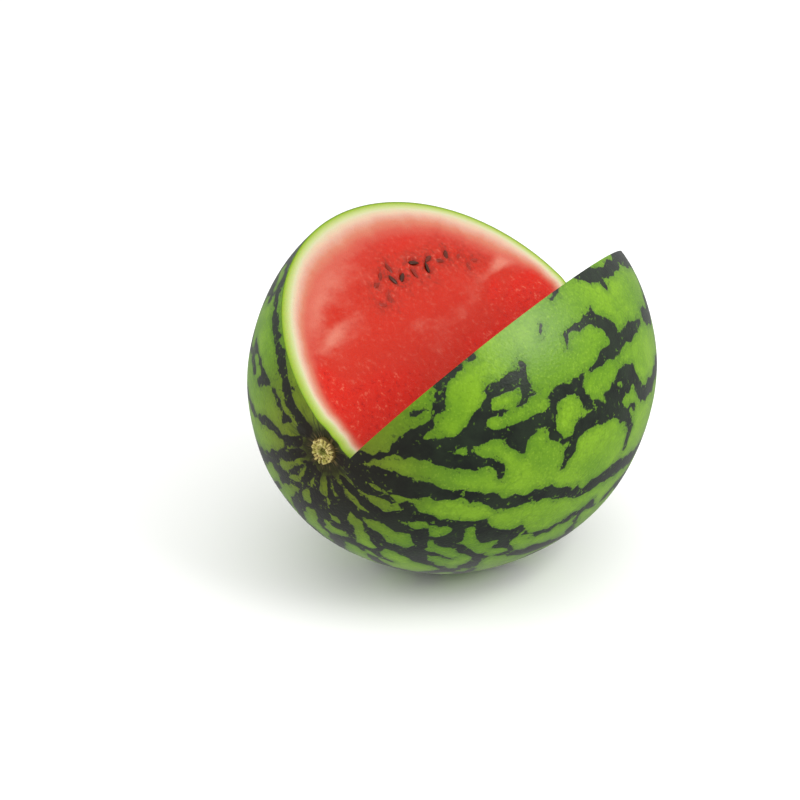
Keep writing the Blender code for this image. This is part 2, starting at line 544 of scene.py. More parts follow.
@dataclass(frozen=True)
class FleshFinish(Finish):
    """Wet flesh, with the rind where it nears the skin.

    The mesh's "rind" is the depth under the skin, in mm, and its "pallor" says how pale the flesh
    is, from -1 for deep red to 1 for pale pink. Its "stain" and "pit" are 1 round and under a seed.
    rind_depth is in mm, and the sizes are those of the pattern's lumps.
    """

    rind_depth: float = 28.0
    mottle_size: float = 24 * MM
    cloud_size: float = 55 * MM
    streak_size: float = 6 * MM
    smudge_size: float = 6.5 * MM
    fibre_size: float = 3.6 * MM
    crumb_size: float = 2.9 * MM
    vesicle_size: float = 2.6 * MM
    grain_size: float = 1.0 * MM
    relief: float = 0.5 * MM
    pale_pink: Colour = tint(202, 118, 98)
    deep_red: Colour = tint(194, 26, 0)
    pale_fibre: Colour = tint(204, 108, 88)
    dark_fibre: Colour = tint(166, 14, 6)
    pale_grit: Colour = tint(214, 98, 70)
    dark_grit: Colour = tint(150, 4, 0)
    pale_grain: Colour = tint(206, 124, 104)
    dark_grain: Colour = tint(152, 16, 8)
    smudge_brown: Colour = tint(150, 46, 30)
    crumb_brown: Colour = tint(108, 40, 24)
    crumb_pink: Colour = tint(220, 132, 108)
    pit_red: Colour = tint(128, 22, 12)

    def colour(self, nodes: Nodes) -> dict[str, Any]:
        """Colours the flesh and the rind.

        Args:
            nodes: the material's tree.

        Returns:
            The shader inputs that vary over the surface.
        """
        place = nodes.own_place()
        rind = nodes.attribute("rind")
        mottle = nodes.noise(place, self.mottle_size, 4.0, 0.6)
        grain = nodes.noise(place, self.grain_size, 3.0, 0.65)
        depth = rind + (mottle * 6.0 + grain * 1.4) * rind.rise(2.0, 12.0)
        ramp = {"Fac": depth / self.rind_depth}
        layers = nodes.add("ShaderNodeValToRGB", {"stops": RIND_LAYERS}, ramp)

        inner = rind.rise(11.0, 22.0)
        clouds = nodes.noise(place, self.cloud_size, 3.0, 0.55)
        lengthwise = nodes.vector("MULTIPLY", place, (1.0, 0.3, 1.0))
        streaks = nodes.noise(lengthwise, self.streak_size, 3.0, 0.6)
        fibres = nodes.noise(place, self.fibre_size, 4.0, 0.7)
        tone = nodes.attribute("pallor") + clouds * 0.9 + mottle * 0.8 + streaks * 0.6
        grit = tone.rise(-0.1, -1.0)
        touches = (
            (tone.rise(0.05, 1.1), self.pale_pink),
            (tone.rise(-0.05, -0.9), self.deep_red),
            (fibres.rise(0.03, 0.22) * 0.3, self.pale_fibre),
            (fibres.rise(-0.03, -0.22) * 0.32, self.dark_fibre),
            (fibres.rise(0.07, 0.2) * grit * 0.6, self.pale_grit),
            (fibres.rise(-0.06, -0.2) * grit * 0.7, self.dark_grit),
            (grain.rise(0.1, 0.34) * 0.3, self.pale_grain),
            (grain.rise(-0.1, -0.34) * 0.35, self.dark_grain),
        )
        flesh = nodes.layered(layers, *((amount * inner, touch) for amount, touch in touches))

        crumbs = nodes.noise(place, self.crumb_size, 3.0, 0.62)
        smudges = nodes.noise(place, self.smudge_size, 3.0, 0.6)
        stain = nodes.attribute("stain")
        flesh = nodes.layered(
            flesh,
            (smudges.rise(-0.1, 0.12) * stain * 0.62, self.smudge_brown),
            (crumbs.rise(0.0, 0.14) * stain * 0.85, self.crumb_brown),
            (crumbs.rise(-0.07, -0.2) * stain * 0.6, self.crumb_pink),
            (nodes.attribute("pit") * 0.5, self.pit_red),
        )

        vesicles = nodes.cells(place, self.vesicle_size)
        height = vesicles * 0.1 + grain * 0.8 + streaks * 0.6 + fibres * 0.8 + crumbs * stain * 1.6
        roughness = 0.42 - grain * 0.35 - mottle * 0.25
        normal = bump(nodes, height, self.relief)
        return {"Base Color": flesh, "Roughness": roughness, "Normal": normal}


@dataclass(frozen=True)
class CorkFinish(Finish):
    """Dry corky stem tissue. The mesh's "crest" is 1 on its ridges and 0 in its cracks."""

    middle: Place = (0.0, 0.0, 0.0)
    crumb_size: float = 1.2 * MM
    patch_size: float = 4 * MM
    core_reach: Pair = (3.4 * MM, 1.6 * MM)
    relief: float = 0.5 * MM
    straw: Colour = tint(196, 176, 112)
    olive: Colour = tint(158, 152, 70)
    core_green: Colour = tint(112, 124, 44)
    crest_highlight: Colour = tint(226, 214, 152)
    # Painted highlight on the cork's ridges.
    crack_shade: Colour = tint(72, 56, 24)
    # Painted shade in the cork's cracks.

    def colour(self, nodes: Nodes) -> dict[str, Any]:
        """Colours the cork.

        Args:
            nodes: the material's tree.

        Returns:
            The shader inputs that vary over the surface.
        """
        place = nodes.own_place()
        crest = nodes.attribute("crest")
        crumbs = nodes.noise(place, self.crumb_size, 4.0, 0.65)
        patches = nodes.noise(place, self.patch_size, 3.0)
        from_middle = nodes.vector("DISTANCE", place, self.middle, output="Value")
        # Painted light: cream on the ridges is a painted highlight, and brown in the cracks is painted
        # shade.
        cork = nodes.layered(
            self.straw,
            (patches.rise(-0.2, 0.2), self.olive),
            (from_middle.rise(*self.core_reach) * 0.8, self.core_green),
            ((crest + crumbs * 0.8).rise(0.7, 1.0) * 0.6, self.crest_highlight),
            ((crest + crumbs * 0.9).rise(0.62, 0.2) * 0.9, self.crack_shade),
        )
        normal = bump(nodes, crumbs * 0.8 + patches * 0.4, self.relief)
        return {"Base Color": cork, "Roughness": 0.8 - crest * 0.12, "Normal": normal}


@dataclass(frozen=True)
class SeedFinish(Finish):
    """A seed's hard coat. Each seed's "ripeness" runs from 0, red with flesh, to 1, dark."""

    marbling_size: float = 1.6 * MM
    relief: float = 0.1 * MM
    unripe: Colour = tint(150, 40, 24)
    ripe: Colour = tint(62, 31, 17)
    marbled: Colour = tint(88, 50, 34)

    def colour(self, nodes: Nodes) -> dict[str, Any]:
        """Colours the seed coat.

        Args:
            nodes: the material's tree.

        Returns:
            The shader inputs that vary over the surface.
        """
        marbling = nodes.noise(nodes.own_place(), self.marbling_size, 3.0, 0.6)
        ripeness = nodes.attribute("ripeness").rise(0.1, 0.95)
        touches = (ripeness, self.ripe), (marbling.rise(0.05, 0.25, 0.55), self.marbled)
        coat = nodes.layered(self.unripe, *touches)
        normal = bump(nodes, marbling, self.relief)
        return {"Base Color": coat, "Roughness": 0.3 + marbling * 0.2, "Normal": normal}


@dataclass(frozen=True)
class FloorFinish(Finish):
    """A plain pale surface."""

    white: Colour = tint(250, 250, 249)

    def colour(self, nodes: Nodes) -> dict[str, Any]:
        """Colours the floor.

        Args:
            nodes: the material's tree, which is not used.

        Returns:
            The shader inputs that vary over the surface.
        """
        return {"Base Color": self.white, "Roughness": 0.6}


# ---------------------------------------------------------------------------------------------
# Shape

# How far upwards a cut face looks, and where the fruit's length is measured, as shares of its radius.
CUT_RISE = (0.3, 0.95)
LENGTH_RING = (0.6, 0.8)


def hump(values: np.ndarray, middle: float, width: float) -> np.ndarray:
    """A smooth hump of height 1 round a middle."""
    return np.exp(-(((values - middle) / width) ** 2))


def climb(values: np.ndarray, start: float, end: float) -> np.ndarray:
    """A straight climb from 0 at the start to 1 at the end, flat outside them."""
    return np.clip((values - start) / (end - start), 0, 1)


def between(ends: Pair, share: Any) -> Any:
    """The value at a share of the way between two ends."""
    return ends[0] + share * (ends[1] - ends[0])


@dataclass(frozen=True)
class Cut:
    """One knife cut: the flat face that it leaves, in the fruit's own coordinates."""

    normal: np.ndarray
    offset: float


@dataclass(frozen=True)
class Fruit:
    """The fruit's sizes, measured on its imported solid, and the small swells that a real one has."""

    centre: np.ndarray
    radius: float
    half_length: float
    left: Cut
    right: Cut
    dimple_depth: float = 4 * MM
    dimple_radius: float = 14 * MM
    rib_count: int = 10
    rib_height: float = 0.3 * MM
    rib_sway: float = 0.6
    bulge_height: float = 0.45 * MM
    bulge_turn: float = 1.3
    twist_height: float = 0.35 * MM
    twist_turn: float = -0.7
    crease_count: int = 9
    crease_height: float = 0.5 * MM
    crease_radius: float = 16 * MM
    crease_width: float = 7 * MM
    rest_softness: float = 1.2 * MM

    @classmethod
    def measured(cls, body: bpy.types.Object) -> "Fruit":
        """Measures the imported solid.

        Args:
            body: the frame's node of the whole body.

        Returns:
            The fruit's sizes.
        """
        mesh = body.data
        points = np.empty(len(mesh.vertices) * 3, np.float32)
        mesh.vertices.foreach_get("co", points)
        points = points.reshape(-1, 3).astype(float)
        low, high = points.min(axis=0), points.max(axis=0)
        widest = points[points[:, 0].argmax()]
        centre = np.array([(low[0] + high[0]) / 2, (low[1] + high[1]) / 2, widest[2]])
        radius = (high[0] - low[0]) / 2
        local = points - centre
        across = np.hypot(local[:, 0], local[:, 2]) / radius
        ring = (across > LENGTH_RING[0]) & (across < LENGTH_RING[1]) & (local[:, 2] < 0)
        half_length = float(np.median(np.abs(local[ring, 1]) / np.sqrt(1 - across[ring] ** 2)))
        return cls(centre, radius, half_length, *cls.flat_faces(mesh, centre))

    @staticmethod
    def flat_faces(mesh: bpy.types.Mesh, centre: np.ndarray) -> tuple[Cut, Cut]:
        """Finds the two big faces that look upwards and to a side.

        Args:
            mesh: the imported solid's mesh.
            centre: the fruit's centre.

        Returns:
            The cut on the left, whose face looks towards +X, and the one on the right.
        """
        areas: dict[tuple, list[float]] = {}
        for face in mesh.polygons:
            if not CUT_RISE[0] < face.normal.z < CUT_RISE[1]:
                continue
            key = tuple(round(value, 2) for value in face.normal)
            offset = float(np.dot(np.array(face.normal), np.array(face.center) - centre))
            sums = areas.setdefault(key, [0.0] * 5)
            for place, value in enumerate((*face.normal, offset, 1.0)):
                sums[place] += value * face.area
        biggest = sorted(areas.values(), key=lambda sums: -sums[4])[:2]
        cuts = []
        for sums in sorted(biggest, key=lambda sums: -sums[0]):
            normal = np.array(sums[:3]) / np.linalg.norm(sums[:3])
            cuts.append(Cut(normal, sums[3] / sums[4]))
        return cuts[0], cuts[1]

    @property
    def semi_axes(self) -> np.ndarray:
        """Half the fruit's size along X, Y and Z, before its dimples."""
        return np.array([self.radius, self.half_length, self.radius])

    @property
    def stem_end(self) -> np.ndarray:
        """The middle of the stem end's dimple."""
        return self.centre - np.array([0, self.half_length - self.dimple_depth, 0])

    @property
    def blossom_end(self) -> np.ndarray:
        """The middle of the blossom end's dimple."""
        return self.centre + np.array([0, self.half_length - self.dimple_depth, 0])

    def notch_line(self) -> tuple[np.ndarray, np.ndarray]:
        """The notch's bottom line.

        Returns:
            A point on it in the fruit's coordinates, and its direction to the blossom end.
        """
        along = np.cross(self.left.normal, self.right.normal)
        along *= np.sign(along[1]) / np.linalg.norm(along)
        planes = np.array([self.left.normal, self.right.normal, [0, 1, 0]])
        return np.linalg.solve(planes, [self.left.offset, self.right.offset, 0]), along

    def uphill(self, cut: Cut) -> np.ndarray:
        """The direction up a cut face, square to the notch's bottom line."""
        up = np.cross(self.notch_line()[1], cut.normal)
        return up * np.sign(up[2])

    def on_skin(self, start: np.ndarray, directions: np.ndarray) -> np.ndarray:
        """Where rays leave the plain spheroid.

        Args:
            start: where they start, inside it.
            directions: their directions, one a row.

        Returns:
            The points, in the fruit's coordinates.
        """
        a, s = directions / self.semi_axes, start / self.semi_axes
        aa, as_, ss = (a * a).sum(-1), (a * s).sum(-1), (s * s).sum()
        reach = (-as_ + np.sqrt(as_**2 - aa * (ss - 1))) / aa
        return start + reach[..., None] * directions

    def normals(self, points: np.ndarray) -> np.ndarray:
        """Outward normals of the plain spheroid at points on it."""
        slopes = points / self.semi_axes**2
        return slopes / np.linalg.norm(slopes, axis=-1, keepdims=True)

    def grown(self, points: np.ndarray) -> np.ndarray:
        """Gives points on the plain spheroid the real fruit's swells, dimples and flat spot.

        Args:
            points: the points, in the fruit's coordinates.

        Returns:
            The points in world coordinates.
        """
        turn = np.arctan2(points[..., 2], points[..., 0])
        dip = np.arccos(np.clip(-points[..., 1] / self.half_length, -1, 1))
        fade = np.sin(dip) ** 2
        swell = self.rib_height * np.cos(self.rib_count * turn + self.rib_sway * np.sin(2 * dip)) * fade
        swell += self.bulge_height * np.sin(3 * turn + self.bulge_turn) * np.sin(2 * dip)
        swell += self.twist_height * np.cos(2 * turn + self.twist_turn + 2 * dip) * fade
        moved = points + self.normals(points) * swell[..., None]
        across = np.hypot(points[..., 0], points[..., 2])
        dimple = self.dimple_depth * hump(across, 0.0, self.dimple_radius)
        creases = np.cos(self.crease_count * turn) * hump(across, self.crease_radius, self.crease_width)
        moved[..., 1] -= np.sign(points[..., 1]) * (dimple + self.crease_height * creases)
        moved = moved + self.centre
        height = moved[..., 2]
        moved[..., 2] = (height + np.sqrt(height**2 + self.rest_softness**2)) / 2
        return moved

    def at(self, turn: np.ndarray, dip: np.ndarray) -> np.ndarray:
        """Points on the plain spheroid.

        Args:
            turn, dip: where they are, in degrees.

        Returns:
            The points, in the fruit's coordinates.
        """
        turn, dip = np.radians(turn), np.radians(dip)
        across = self.radius * np.sin(dip)
        along = -self.half_length * np.cos(dip)
        return np.stack([across * np.cos(turn), along, across * np.sin(turn)], axis=-1)


# Dark bands of the skin, one of them painted shadow: runs of (turn, dip, half width in mm).
NEAR_BANDS_AND_SHADOW = (
    ((9.5, 13, 1.5), (10.5, 20, 2), (14, 25.5, 5.5), (19, 27, 5)),
    ((14, 26, 5.5), (10, 30, 5), (7, 31.5, 4.5), (4, 34, 2.5), (2.5, 37, 3.5), (2, 41, 4)),
    ((2, 41, 4), (1.5, 45, 3), (-1, 48, 1.5), (-4, 49, 1)),
    ((13, 27, 5), (12.5, 32, 3.5), (12, 36, 2.5), (13, 40, 4), (14, 43.5, 5.5), (12.5, 46.5, 3)),
    ((14, 43, 5), (18, 44.5, 3.5), (21, 46.8, 2.2), (23.5, 47.8, 1.2)),
    ((19, 28, 4), (20.5, 31, 2), (25, 33.3, 1.2), (27.5, 34.7, 2.8), (29.5, 36, 3.6)),
    ((29.5, 36, 3.6), (31.5, 37, 2.2), (34, 38.5, 0.8), (36.5, 39.5, 1), (38.3, 39, 1.6)),
    ((29.5, 33.5, 0.8), (31.5, 29.5, 1.2)),
    ((38.5, 41, 0.8), (39.5, 45, 1.2), (40.5, 49, 0.8)),
    ((27, 50, 3.2), (26.7, 54, 3.2), (28, 58, 3.6), (29.5, 59.2, 2.4)),
    ((26, 57.8, 1.4), (21.5, 58.3, 1.2), (20, 60.5, 0.8)),
    ((11.5, 47.5, 2.6), (9.5, 51.5, 5), (7, 53, 4.6), (3.8, 53.4, 1.8)),
    ((9.8, 53, 5.2), (10.6, 57, 3.6), (10.8, 61, 3.2), (8.8, 63.2, 2.6), (5.5, 62.8, 0.8)),
    ((11, 61.5, 3), (13.5, 63.8, 2.2), (17.2, 65, 3.4), (17.6, 68, 3.6), (17, 71, 4.2)),
    ((17, 71.5, 3.6), (12.8, 73, 2.8), (10.5, 75.2, 2.8), (9.3, 78, 2.8), (7.5, 80, 3.6)),
    ((17.8, 71, 3.6), (19.2, 74, 1.8), (19.8, 78, 0.9), (20.2, 81.2, 1.6), (21.3, 84, 2.4)),
    ((21.3, 84, 2.4), (22.4, 89, 4.4), (23, 94, 4), (22.8, 98.5, 3), (22.6, 102.5, 1.2)),
    ((22.6, 102.5, 1.2), (23.8, 108, 0.8), (22, 118, 2.5), (25, 132, 3), (21, 148, 3)),
    ((22.8, 90, 4.2), (26, 89.8, 5.6), (29.4, 87.8, 3.2), (31, 85.6, 3.6), (32.6, 84.6, 4)),
    ((32.6, 84.8, 3.8), (34.6, 85.6, 1)),
    ((32.4, 83.4, 3), (32.2, 80, 1.2), (32.8, 77, 1.3), (32, 74.4, 1.2), (28.5, 72.6, 0.8)),
    ((36.2, 67.8, 1.3), (37, 68.6, 1)),
    ((6.5, 62.8, 2.2), (2.6, 65.4, 1.6), (2.8, 69, 2.4)),
    ((3, 41, 2.2), (8.6, 40.6, 1)),
    ((5, 71, 4), (6.2, 76, 4.4), (7, 81, 4.8), (9.5, 86, 3.6)),
    ((4, 10, 2), (8, 14, 2.2), (9.5, 18, 2.2)),
    ((19, 47.2, 1.4), (18.6, 51.5, 0.9), (19.4, 56, 0.9), (21.6, 58.4, 1.2)),
    ((10, 83.5, 2.2), (13.2, 86.5, 1.8), (14, 90.5, 2.4), (12.6, 94.5, 3.6)),
    ((5, 86, 2), (1.8, 87, 1.4), (4.8, 90, 1.2), (3, 93.4, 2)),
    ((42.5, 76, 1.2), (44.5, 79, 1), (46, 84, 1.4), (44.8, 88, 2.2), (43, 91.8, 3)),
    ((43, 91.8, 3), (41, 95.2, 3.6), (38.4, 95.6, 2.6)),
    ((41, 95.2, 3.6), (40.6, 99.5, 3.2), (42, 104, 3.2), (42.5, 111, 3.6), (40, 124, 3)),
    ((-4.8, 66.2, 0.8), (-1.2, 67.5, 2.6), (3, 69.3, 2.6), (5.8, 71.5, 3.6), (5.2, 76, 2.6)),
    ((5.2, 76, 2.6), (6.6, 79.2, 4), (7, 82, 4.4), (10.8, 82.3, 3), (12.6, 84.8, 1.8)),
    ((8.6, 86.5, 2.2), (9.4, 89, 2.6), (9.6, 91.5, 2.8), (11.6, 94.2, 4), (8, 96.2, 4)),
    ((8, 96.2, 4), (4, 98.5, 5), (3.5, 106, 5), (6, 116, 4.5), (4, 130, 4), (7, 148, 3)),
    ((7, 82, 4.2), (4.6, 86.8, 2.8), (1.2, 89.6, 3.6), (-3.5, 91.8, 2.6), (-9, 91, 1.5)),
    # Painted shadow: near turn -14, from dip 6 to about 38, these runs are a wide dark patch of painted
    # shadow; past that they go on as a stripe.
    ((-12, 6, 2.6), (-13, 12, 4), (-13, 18, 5.4), (-14, 25, 6), (-14.5, 32, 4)),
    ((-14.5, 32, 4), (-13, 39, 3), (-16, 50, 3)),
    ((-16, 50, 3), (-14, 62, 4), (-17, 75, 3), (-15, 88, 5), (-18, 102, 4), (-14, 118, 3)),
    ((142, 7, 2.7), (139.5, 12, 2.7), (137.5, 17, 2.7), (135.5, 20.5, 3), (134, 25, 3.7)),
    ((134, 25, 3.7), (133.4, 30, 2.9), (134, 35, 3), (135.2, 41, 2.7), (135.8, 47, 2.7)),
    ((135.8, 47, 2.7), (134, 58, 2.3), (136.5, 70, 3.4), (134, 84, 2.7)),
    ((134, 84, 2.7), (138, 98, 3.4), (135, 115, 2.7)),
    ((122, 17.5, 0.6), (126, 18, 0.7), (129, 19, 0.6)),
    ((150, 7, 1), (152, 12, 1.4), (156, 16, 1.9), (160, 14.5, 1.6)),
    ((155, 17, 1.6), (152, 21, 1.8), (150.2, 25, 1.2), (154, 29, 1.9), (158, 30.6, 2)),
    ((158, 30.6, 2), (161.5, 33, 1.4), (160, 42, 2), (163, 54, 1.4), (159, 68, 2.7), (162, 84, 2)),
    ((154, 30, 1.4), (153, 37, 0.8), (154.5, 44, 0.7)),
    ((174, 8, 1.2), (180, 12, 2), (185, 14, 1.8), (192, 14, 0.8)),
    ((182, 13, 3), (179, 18, 2), (178, 24, 2), (181, 31, 1.4), (178, 42, 2.7), (182, 56, 2)),
)


@dataclass(frozen=True)
class BandPattern:
    """The skin's dark bands: those listed, and more of the same kind on the far sides.

    Turns and dips are in degrees and widths are half widths in mm. The shares are chances.
    """

    seed: int = 11
    near_turns: tuple[float, ...] = (-16.0, 4.0, 23.0, 42.0)
    side_turns: tuple[float, ...] = (127.0, 144.0, 162.0, 183.0)
    far_turns: tuple[float, ...] = (203.0, 221.0, 240.0, 259.0, 277.0, 296.0, 315.0, 331.0)
    near_end: float = 112.0
    side_start: float = 52.0
    first_dip: float = 8.0
    last_dip: float = 172.0
    last_link: float = 160.0
    dip_step: float = 7.0
    dip_stretch: Pair = (0.7, 1.3)
    wander: float = 4.5
    widths: tuple[float, ...] = (1.2, 2.0, 3.0, 4.0, 5.2, 6.6)
    narrowest: float = 0.25
    first_link: Pair = (8.0, 16.0)
    link_gaps: Pair = (13.0, 24.0)
    link_slant: float = 9.0
    link_jog: Pair = (2.5, 3.5)
    joint_widths: Pair = (2.5, 5.5)
    link_widths: Pair = (0.8, 4.2)
    loose_share: float = 0.3
    spur_share: float = 0.6
    spur_sway: Pair = (-4.0, 4.0)
    spur_reach: Pair = (5.0, 11.0)
    spur_width: float = 0.8
    blot_width: float = 5.5
    outside: float = -60.0
    substeps: int = 4

    def grown(self) -> list[tuple]:
        """Bands for the sides that the listed ones leave free.

        Returns:
            Runs of (turn, dip, half width in mm).
        """
        random = np.random.default_rng(self.seed)
        lines = [self.line(random, turn, self.side_start) for turn in self.side_turns]
        lines += [self.line(random, turn, self.first_dip) for turn in self.far_turns]
        lines += [self.line(random, turn + 360, self.near_end) for turn in self.near_turns]
        runs = list(lines)
        for first, second in zip(lines, lines[1:]):
            dip = max(first[0][1], second[0][1]) + random.uniform(*self.first_link)
            while dip < self.last_link:
                runs += self.crossing(random, first, second, dip)
                dip += random.uniform(*self.link_gaps)
        return runs

    def line(self, random: np.random.Generator, turn: float, low: float) -> tuple:
        """One band that runs to the blossom end, wandering and changing its width.

        Args:
            random: the random numbers.
            turn: the turn that it keeps near.
            low: the dip where it starts.

        Returns:
            Its run.
        """
        points = []
        dip = low
        while dip < self.last_dip:
            girth = math.sin(math.radians(dip))
            wander = random.uniform(-self.wander, self.wander) * girth
            width = float(random.choice(self.widths)) * min(1.0, self.narrowest + girth)
            points.append((turn + wander, dip, width))
            dip += self.dip_step * random.uniform(*self.dip_stretch)
        return tuple(points)

    def crossing(self, random: np.random.Generator, first: tuple, second: tuple, dip: float) -> list:
        """A crooked link between two bands, often with a spur or a blot beside it.

        Args:
            random: the random numbers.
            first, second: the two bands' runs.
            dip: where the link leaves the first.

        Returns:
            The runs that make it.
        """
        slant = self.link_slant
        start = min(first, key=lambda point: abs(point[1] - dip))
        end = min(second, key=lambda point: abs(point[1] - dip - random.uniform(-slant, slant)))
        points = [start[:2] + (float(random.uniform(*self.joint_widths)),)]
        for share in (0.3, 0.6):
            jog = [random.uniform(-most, most) for most in self.link_jog]
            turn, low = (between((start[axis], end[axis]), share) + jog[axis] for axis in (0, 1))
            points.append((turn, low, float(random.uniform(*self.link_widths))))
        points.append(end[:2] + (float(random.uniform(*self.joint_widths)),))
        spare = random.uniform(size=4)
        if spare[0] < self.loose_share:
            return [tuple(points[:3])]
        if spare[3] < self.spur_share:
            turn, low, _ = points[1]
            tip = (turn + between(self.spur_sway, spare[1]), low + between(self.spur_reach, spare[2]))
            return [tuple(points), (points[1], (*tip, self.spur_width))]
        return [tuple(points), (points[2], points[2][:2] + (self.blot_width,))]

    def depth(self, fruit: Fruit, points: np.ndarray) -> np.ndarray:
        """How far inside a band each point is.

        Args:
            fruit: the fruit.
            points: points on the plain spheroid, one a row.

        Returns:
            The depth in mm, negative outside every band.
        """
        best = np.full(len(points), self.outside)
        # The listed runs include one painted shadow near the stem.
        for run in (*NEAR_BANDS_AND_SHADOW, *self.grown()):
            run = np.array(run, float)
            steps = [np.linspace(*ends, self.substeps + 1)[:-1] for ends in zip(run, run[1:])]
            fine = np.vstack([*steps, run[-1:]])
            places = fruit.at(fine[:, 0], fine[:, 1])
            for start, end, widths in zip(places, places[1:], zip(fine[:, 2], fine[1:, 2])):
                side = end - start
                share = np.clip((points - start) @ side / max(side @ side, 1e-12), 0, 1)
                gap = np.linalg.norm(points - start - share[:, None] * side, axis=1) / MM
                best = np.maximum(best, between(widths, share) - gap)
        return best


@dataclass(frozen=True)
class Patch:
    """A soft patch of paler or deeper flesh on a cut face.

    Its place and half sizes are in mm from the notch line's middle, its lean is in degrees, and its
    pallor is above 0 where it's paler.
    """

    along: float
    up: float
    length: float
    height: float
    lean: float
    pallor: float


LEFT_PATCHES = (
    Patch(-74, 61, 13, 3.5, 14, 0.65),
    Patch(-58, 60, 26, 9, 10, 0.5),
    Patch(90, 47, 22, 3.5, 8, 1.0),
    Patch(104, 54, 17, 11, -55, 1.1),
    Patch(-76, 76, 32, 9, 42, 0.5),
    Patch(84, 78, 26, 8, -42, 0.5),
    Patch(-48, 90, 46, 13, 16, 0.6),
    Patch(28, 34, 30, 7, 4, 0.28),
    Patch(-20, 44, 24, 4, -12, 0.3),
    Patch(-14, 24, 34, 10, 0, 0.12),
    Patch(50, 44, 30, 9, -6, 0.2),
    Patch(-84, 17, 38, 13, 0, -1.7),
    Patch(-104, 38, 9, 14, -20, -1.4),
    Patch(96, 24, 24, 10, 4, -2.0),
    Patch(66, 35, 14, 5, 30, -1.2),
    Patch(20, 90, 34, 8, 0, -0.5),
    Patch(-24, 52, 16, 9, 10, -0.4),
    Patch(40, 14, 50, 7, 0, -0.7),
)
RIGHT_PATCHES = (
    Patch(-60, 55, 20, 6, 20, 0.7),
    Patch(30, 82, 40, 10, -8, 0.5),
    Patch(78, 46, 18, 5, -25, 0.7),
    Patch(0, 34, 26, 8, 8, 0.4),
    Patch(-85, 25, 30, 14, 0, -0.9),
    Patch(85, 20, 34, 12, 0, -0.9),
    Patch(10, 14, 50, 8, 0, -0.5),
    Patch(-30, 78, 20, 8, 0, -0.4),
)


# How dark each seed of a face is, by its number: the palest are still under a film of flesh.
LEFT_RIPENESS = (1.0, 0.95, 0.9, 0.65, 0.5, 0.7, 0.25, 0.2, 0.25, 0.5, 0.45, 0.8, 0.4, 0.25, 0.2, 0.45)
RIGHT_RIPENESS = (0.9, 0.7, 0.95, 0.5, 0.8, 0.6, 0.4, 0.85, 0.3, 0.55)


@dataclass(frozen=True)
class SeedPlace:
    """Where a seed lies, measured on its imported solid."""

    centre: np.ndarray
    axes: np.ndarray
    half_sizes: np.ndarray
    ripeness: float

    @classmethod
    def measured(cls, node: bpy.types.Object, ripeness: float) -> "SeedPlace":
        """Measures a seed's node.

        Args:
            node: the frame's object.
            ripeness: how dark the seed is, from 0 to 1.

        Returns:
            Its centre, its length, width and thickness directions, and half its sizes.
        """
        points = np.array([vertex.co for vertex in node.data.vertices])
        centre = (points.min(axis=0) + points.max(axis=0)) / 2
        _, _, axes = np.linalg.svd(np.unique(np.round(points - points.mean(axis=0), 6), axis=0))
        spans = (points - centre) @ axes.T
        half_sizes = (spans.max(axis=0) - spans.min(axis=0)) / 2
        centre = centre + ((spans.max(axis=0) + spans.min(axis=0)) / 2) @ axes
        spans = (points - centre) @ axes.T
        blunt = spans[:, 0] < 0
        if np.abs(spans[blunt, 1]).mean() < np.abs(spans[~blunt, 1]).mean():
            axes[0] *= -1
        if axes[2][2] < 0:
            axes[2] *= -1
        axes[1] = np.cross(axes[2], axes[0])
        return cls(centre, axes, half_sizes, ripeness)


def link(obj: bpy.types.Object) -> bpy.types.Object:
    """Puts an object in the scene."""
    bpy.context.scene.collection.objects.link(obj)
    return obj


def store(mesh: bpy.types.Mesh, name: str, values: np.ndarray, domain: str = "POINT") -> None:
    """Stores a number for each point or face of a mesh.

    Args:
        mesh: the mesh.
        name: the attribute's name.
        values: the numbers.
        domain: where they belong.
    """
    kind = "BOOLEAN" if values.dtype == bool else "FLOAT"
    attribute = mesh.attributes.new(name, kind, domain)
    attribute.data.foreach_set("value", values.astype(bool if kind == "BOOLEAN" else np.float32))


def settle(obj: bpy.types.Object, name: str) -> bpy.types.Object:
    """Turns an object with Geometry Nodes into a plain mesh object.

    Args:
        obj: the object, which is removed.
        name: the new object's name.

    Returns:
        The new object.
    """
    bpy.context.view_layer.update()
    graph = bpy.context.evaluated_depsgraph_get()
    mesh = bpy.data.meshes.new_from_object(
        obj.evaluated_get(graph), preserve_all_data_layers=True, depsgraph=graph
    )
    bpy.data.objects.remove(obj)
    mesh.name = name
    return link(bpy.data.objects.new(name, mesh))


def smooth(mesh: bpy.types.Mesh, owners: np.ndarray | None = None) -> None:
    """Turns a mesh's faces outwards and shades them smooth.

    Args:
        mesh: the mesh.
        owners: a number for each face. An edge between two numbers stays sharp.
    """
    form = bmesh.new()
    form.from_mesh(mesh)
    bmesh.ops.recalc_face_normals(form, faces=form.faces)
    form.faces.ensure_lookup_table()
    if owners is not None:
        for edge in form.edges:
            edge.smooth = len({int(owners[face.index]) for face in edge.link_faces}) == 1
    for face in form.faces:
        face.smooth = True
    form.to_mesh(mesh)
    form.free()


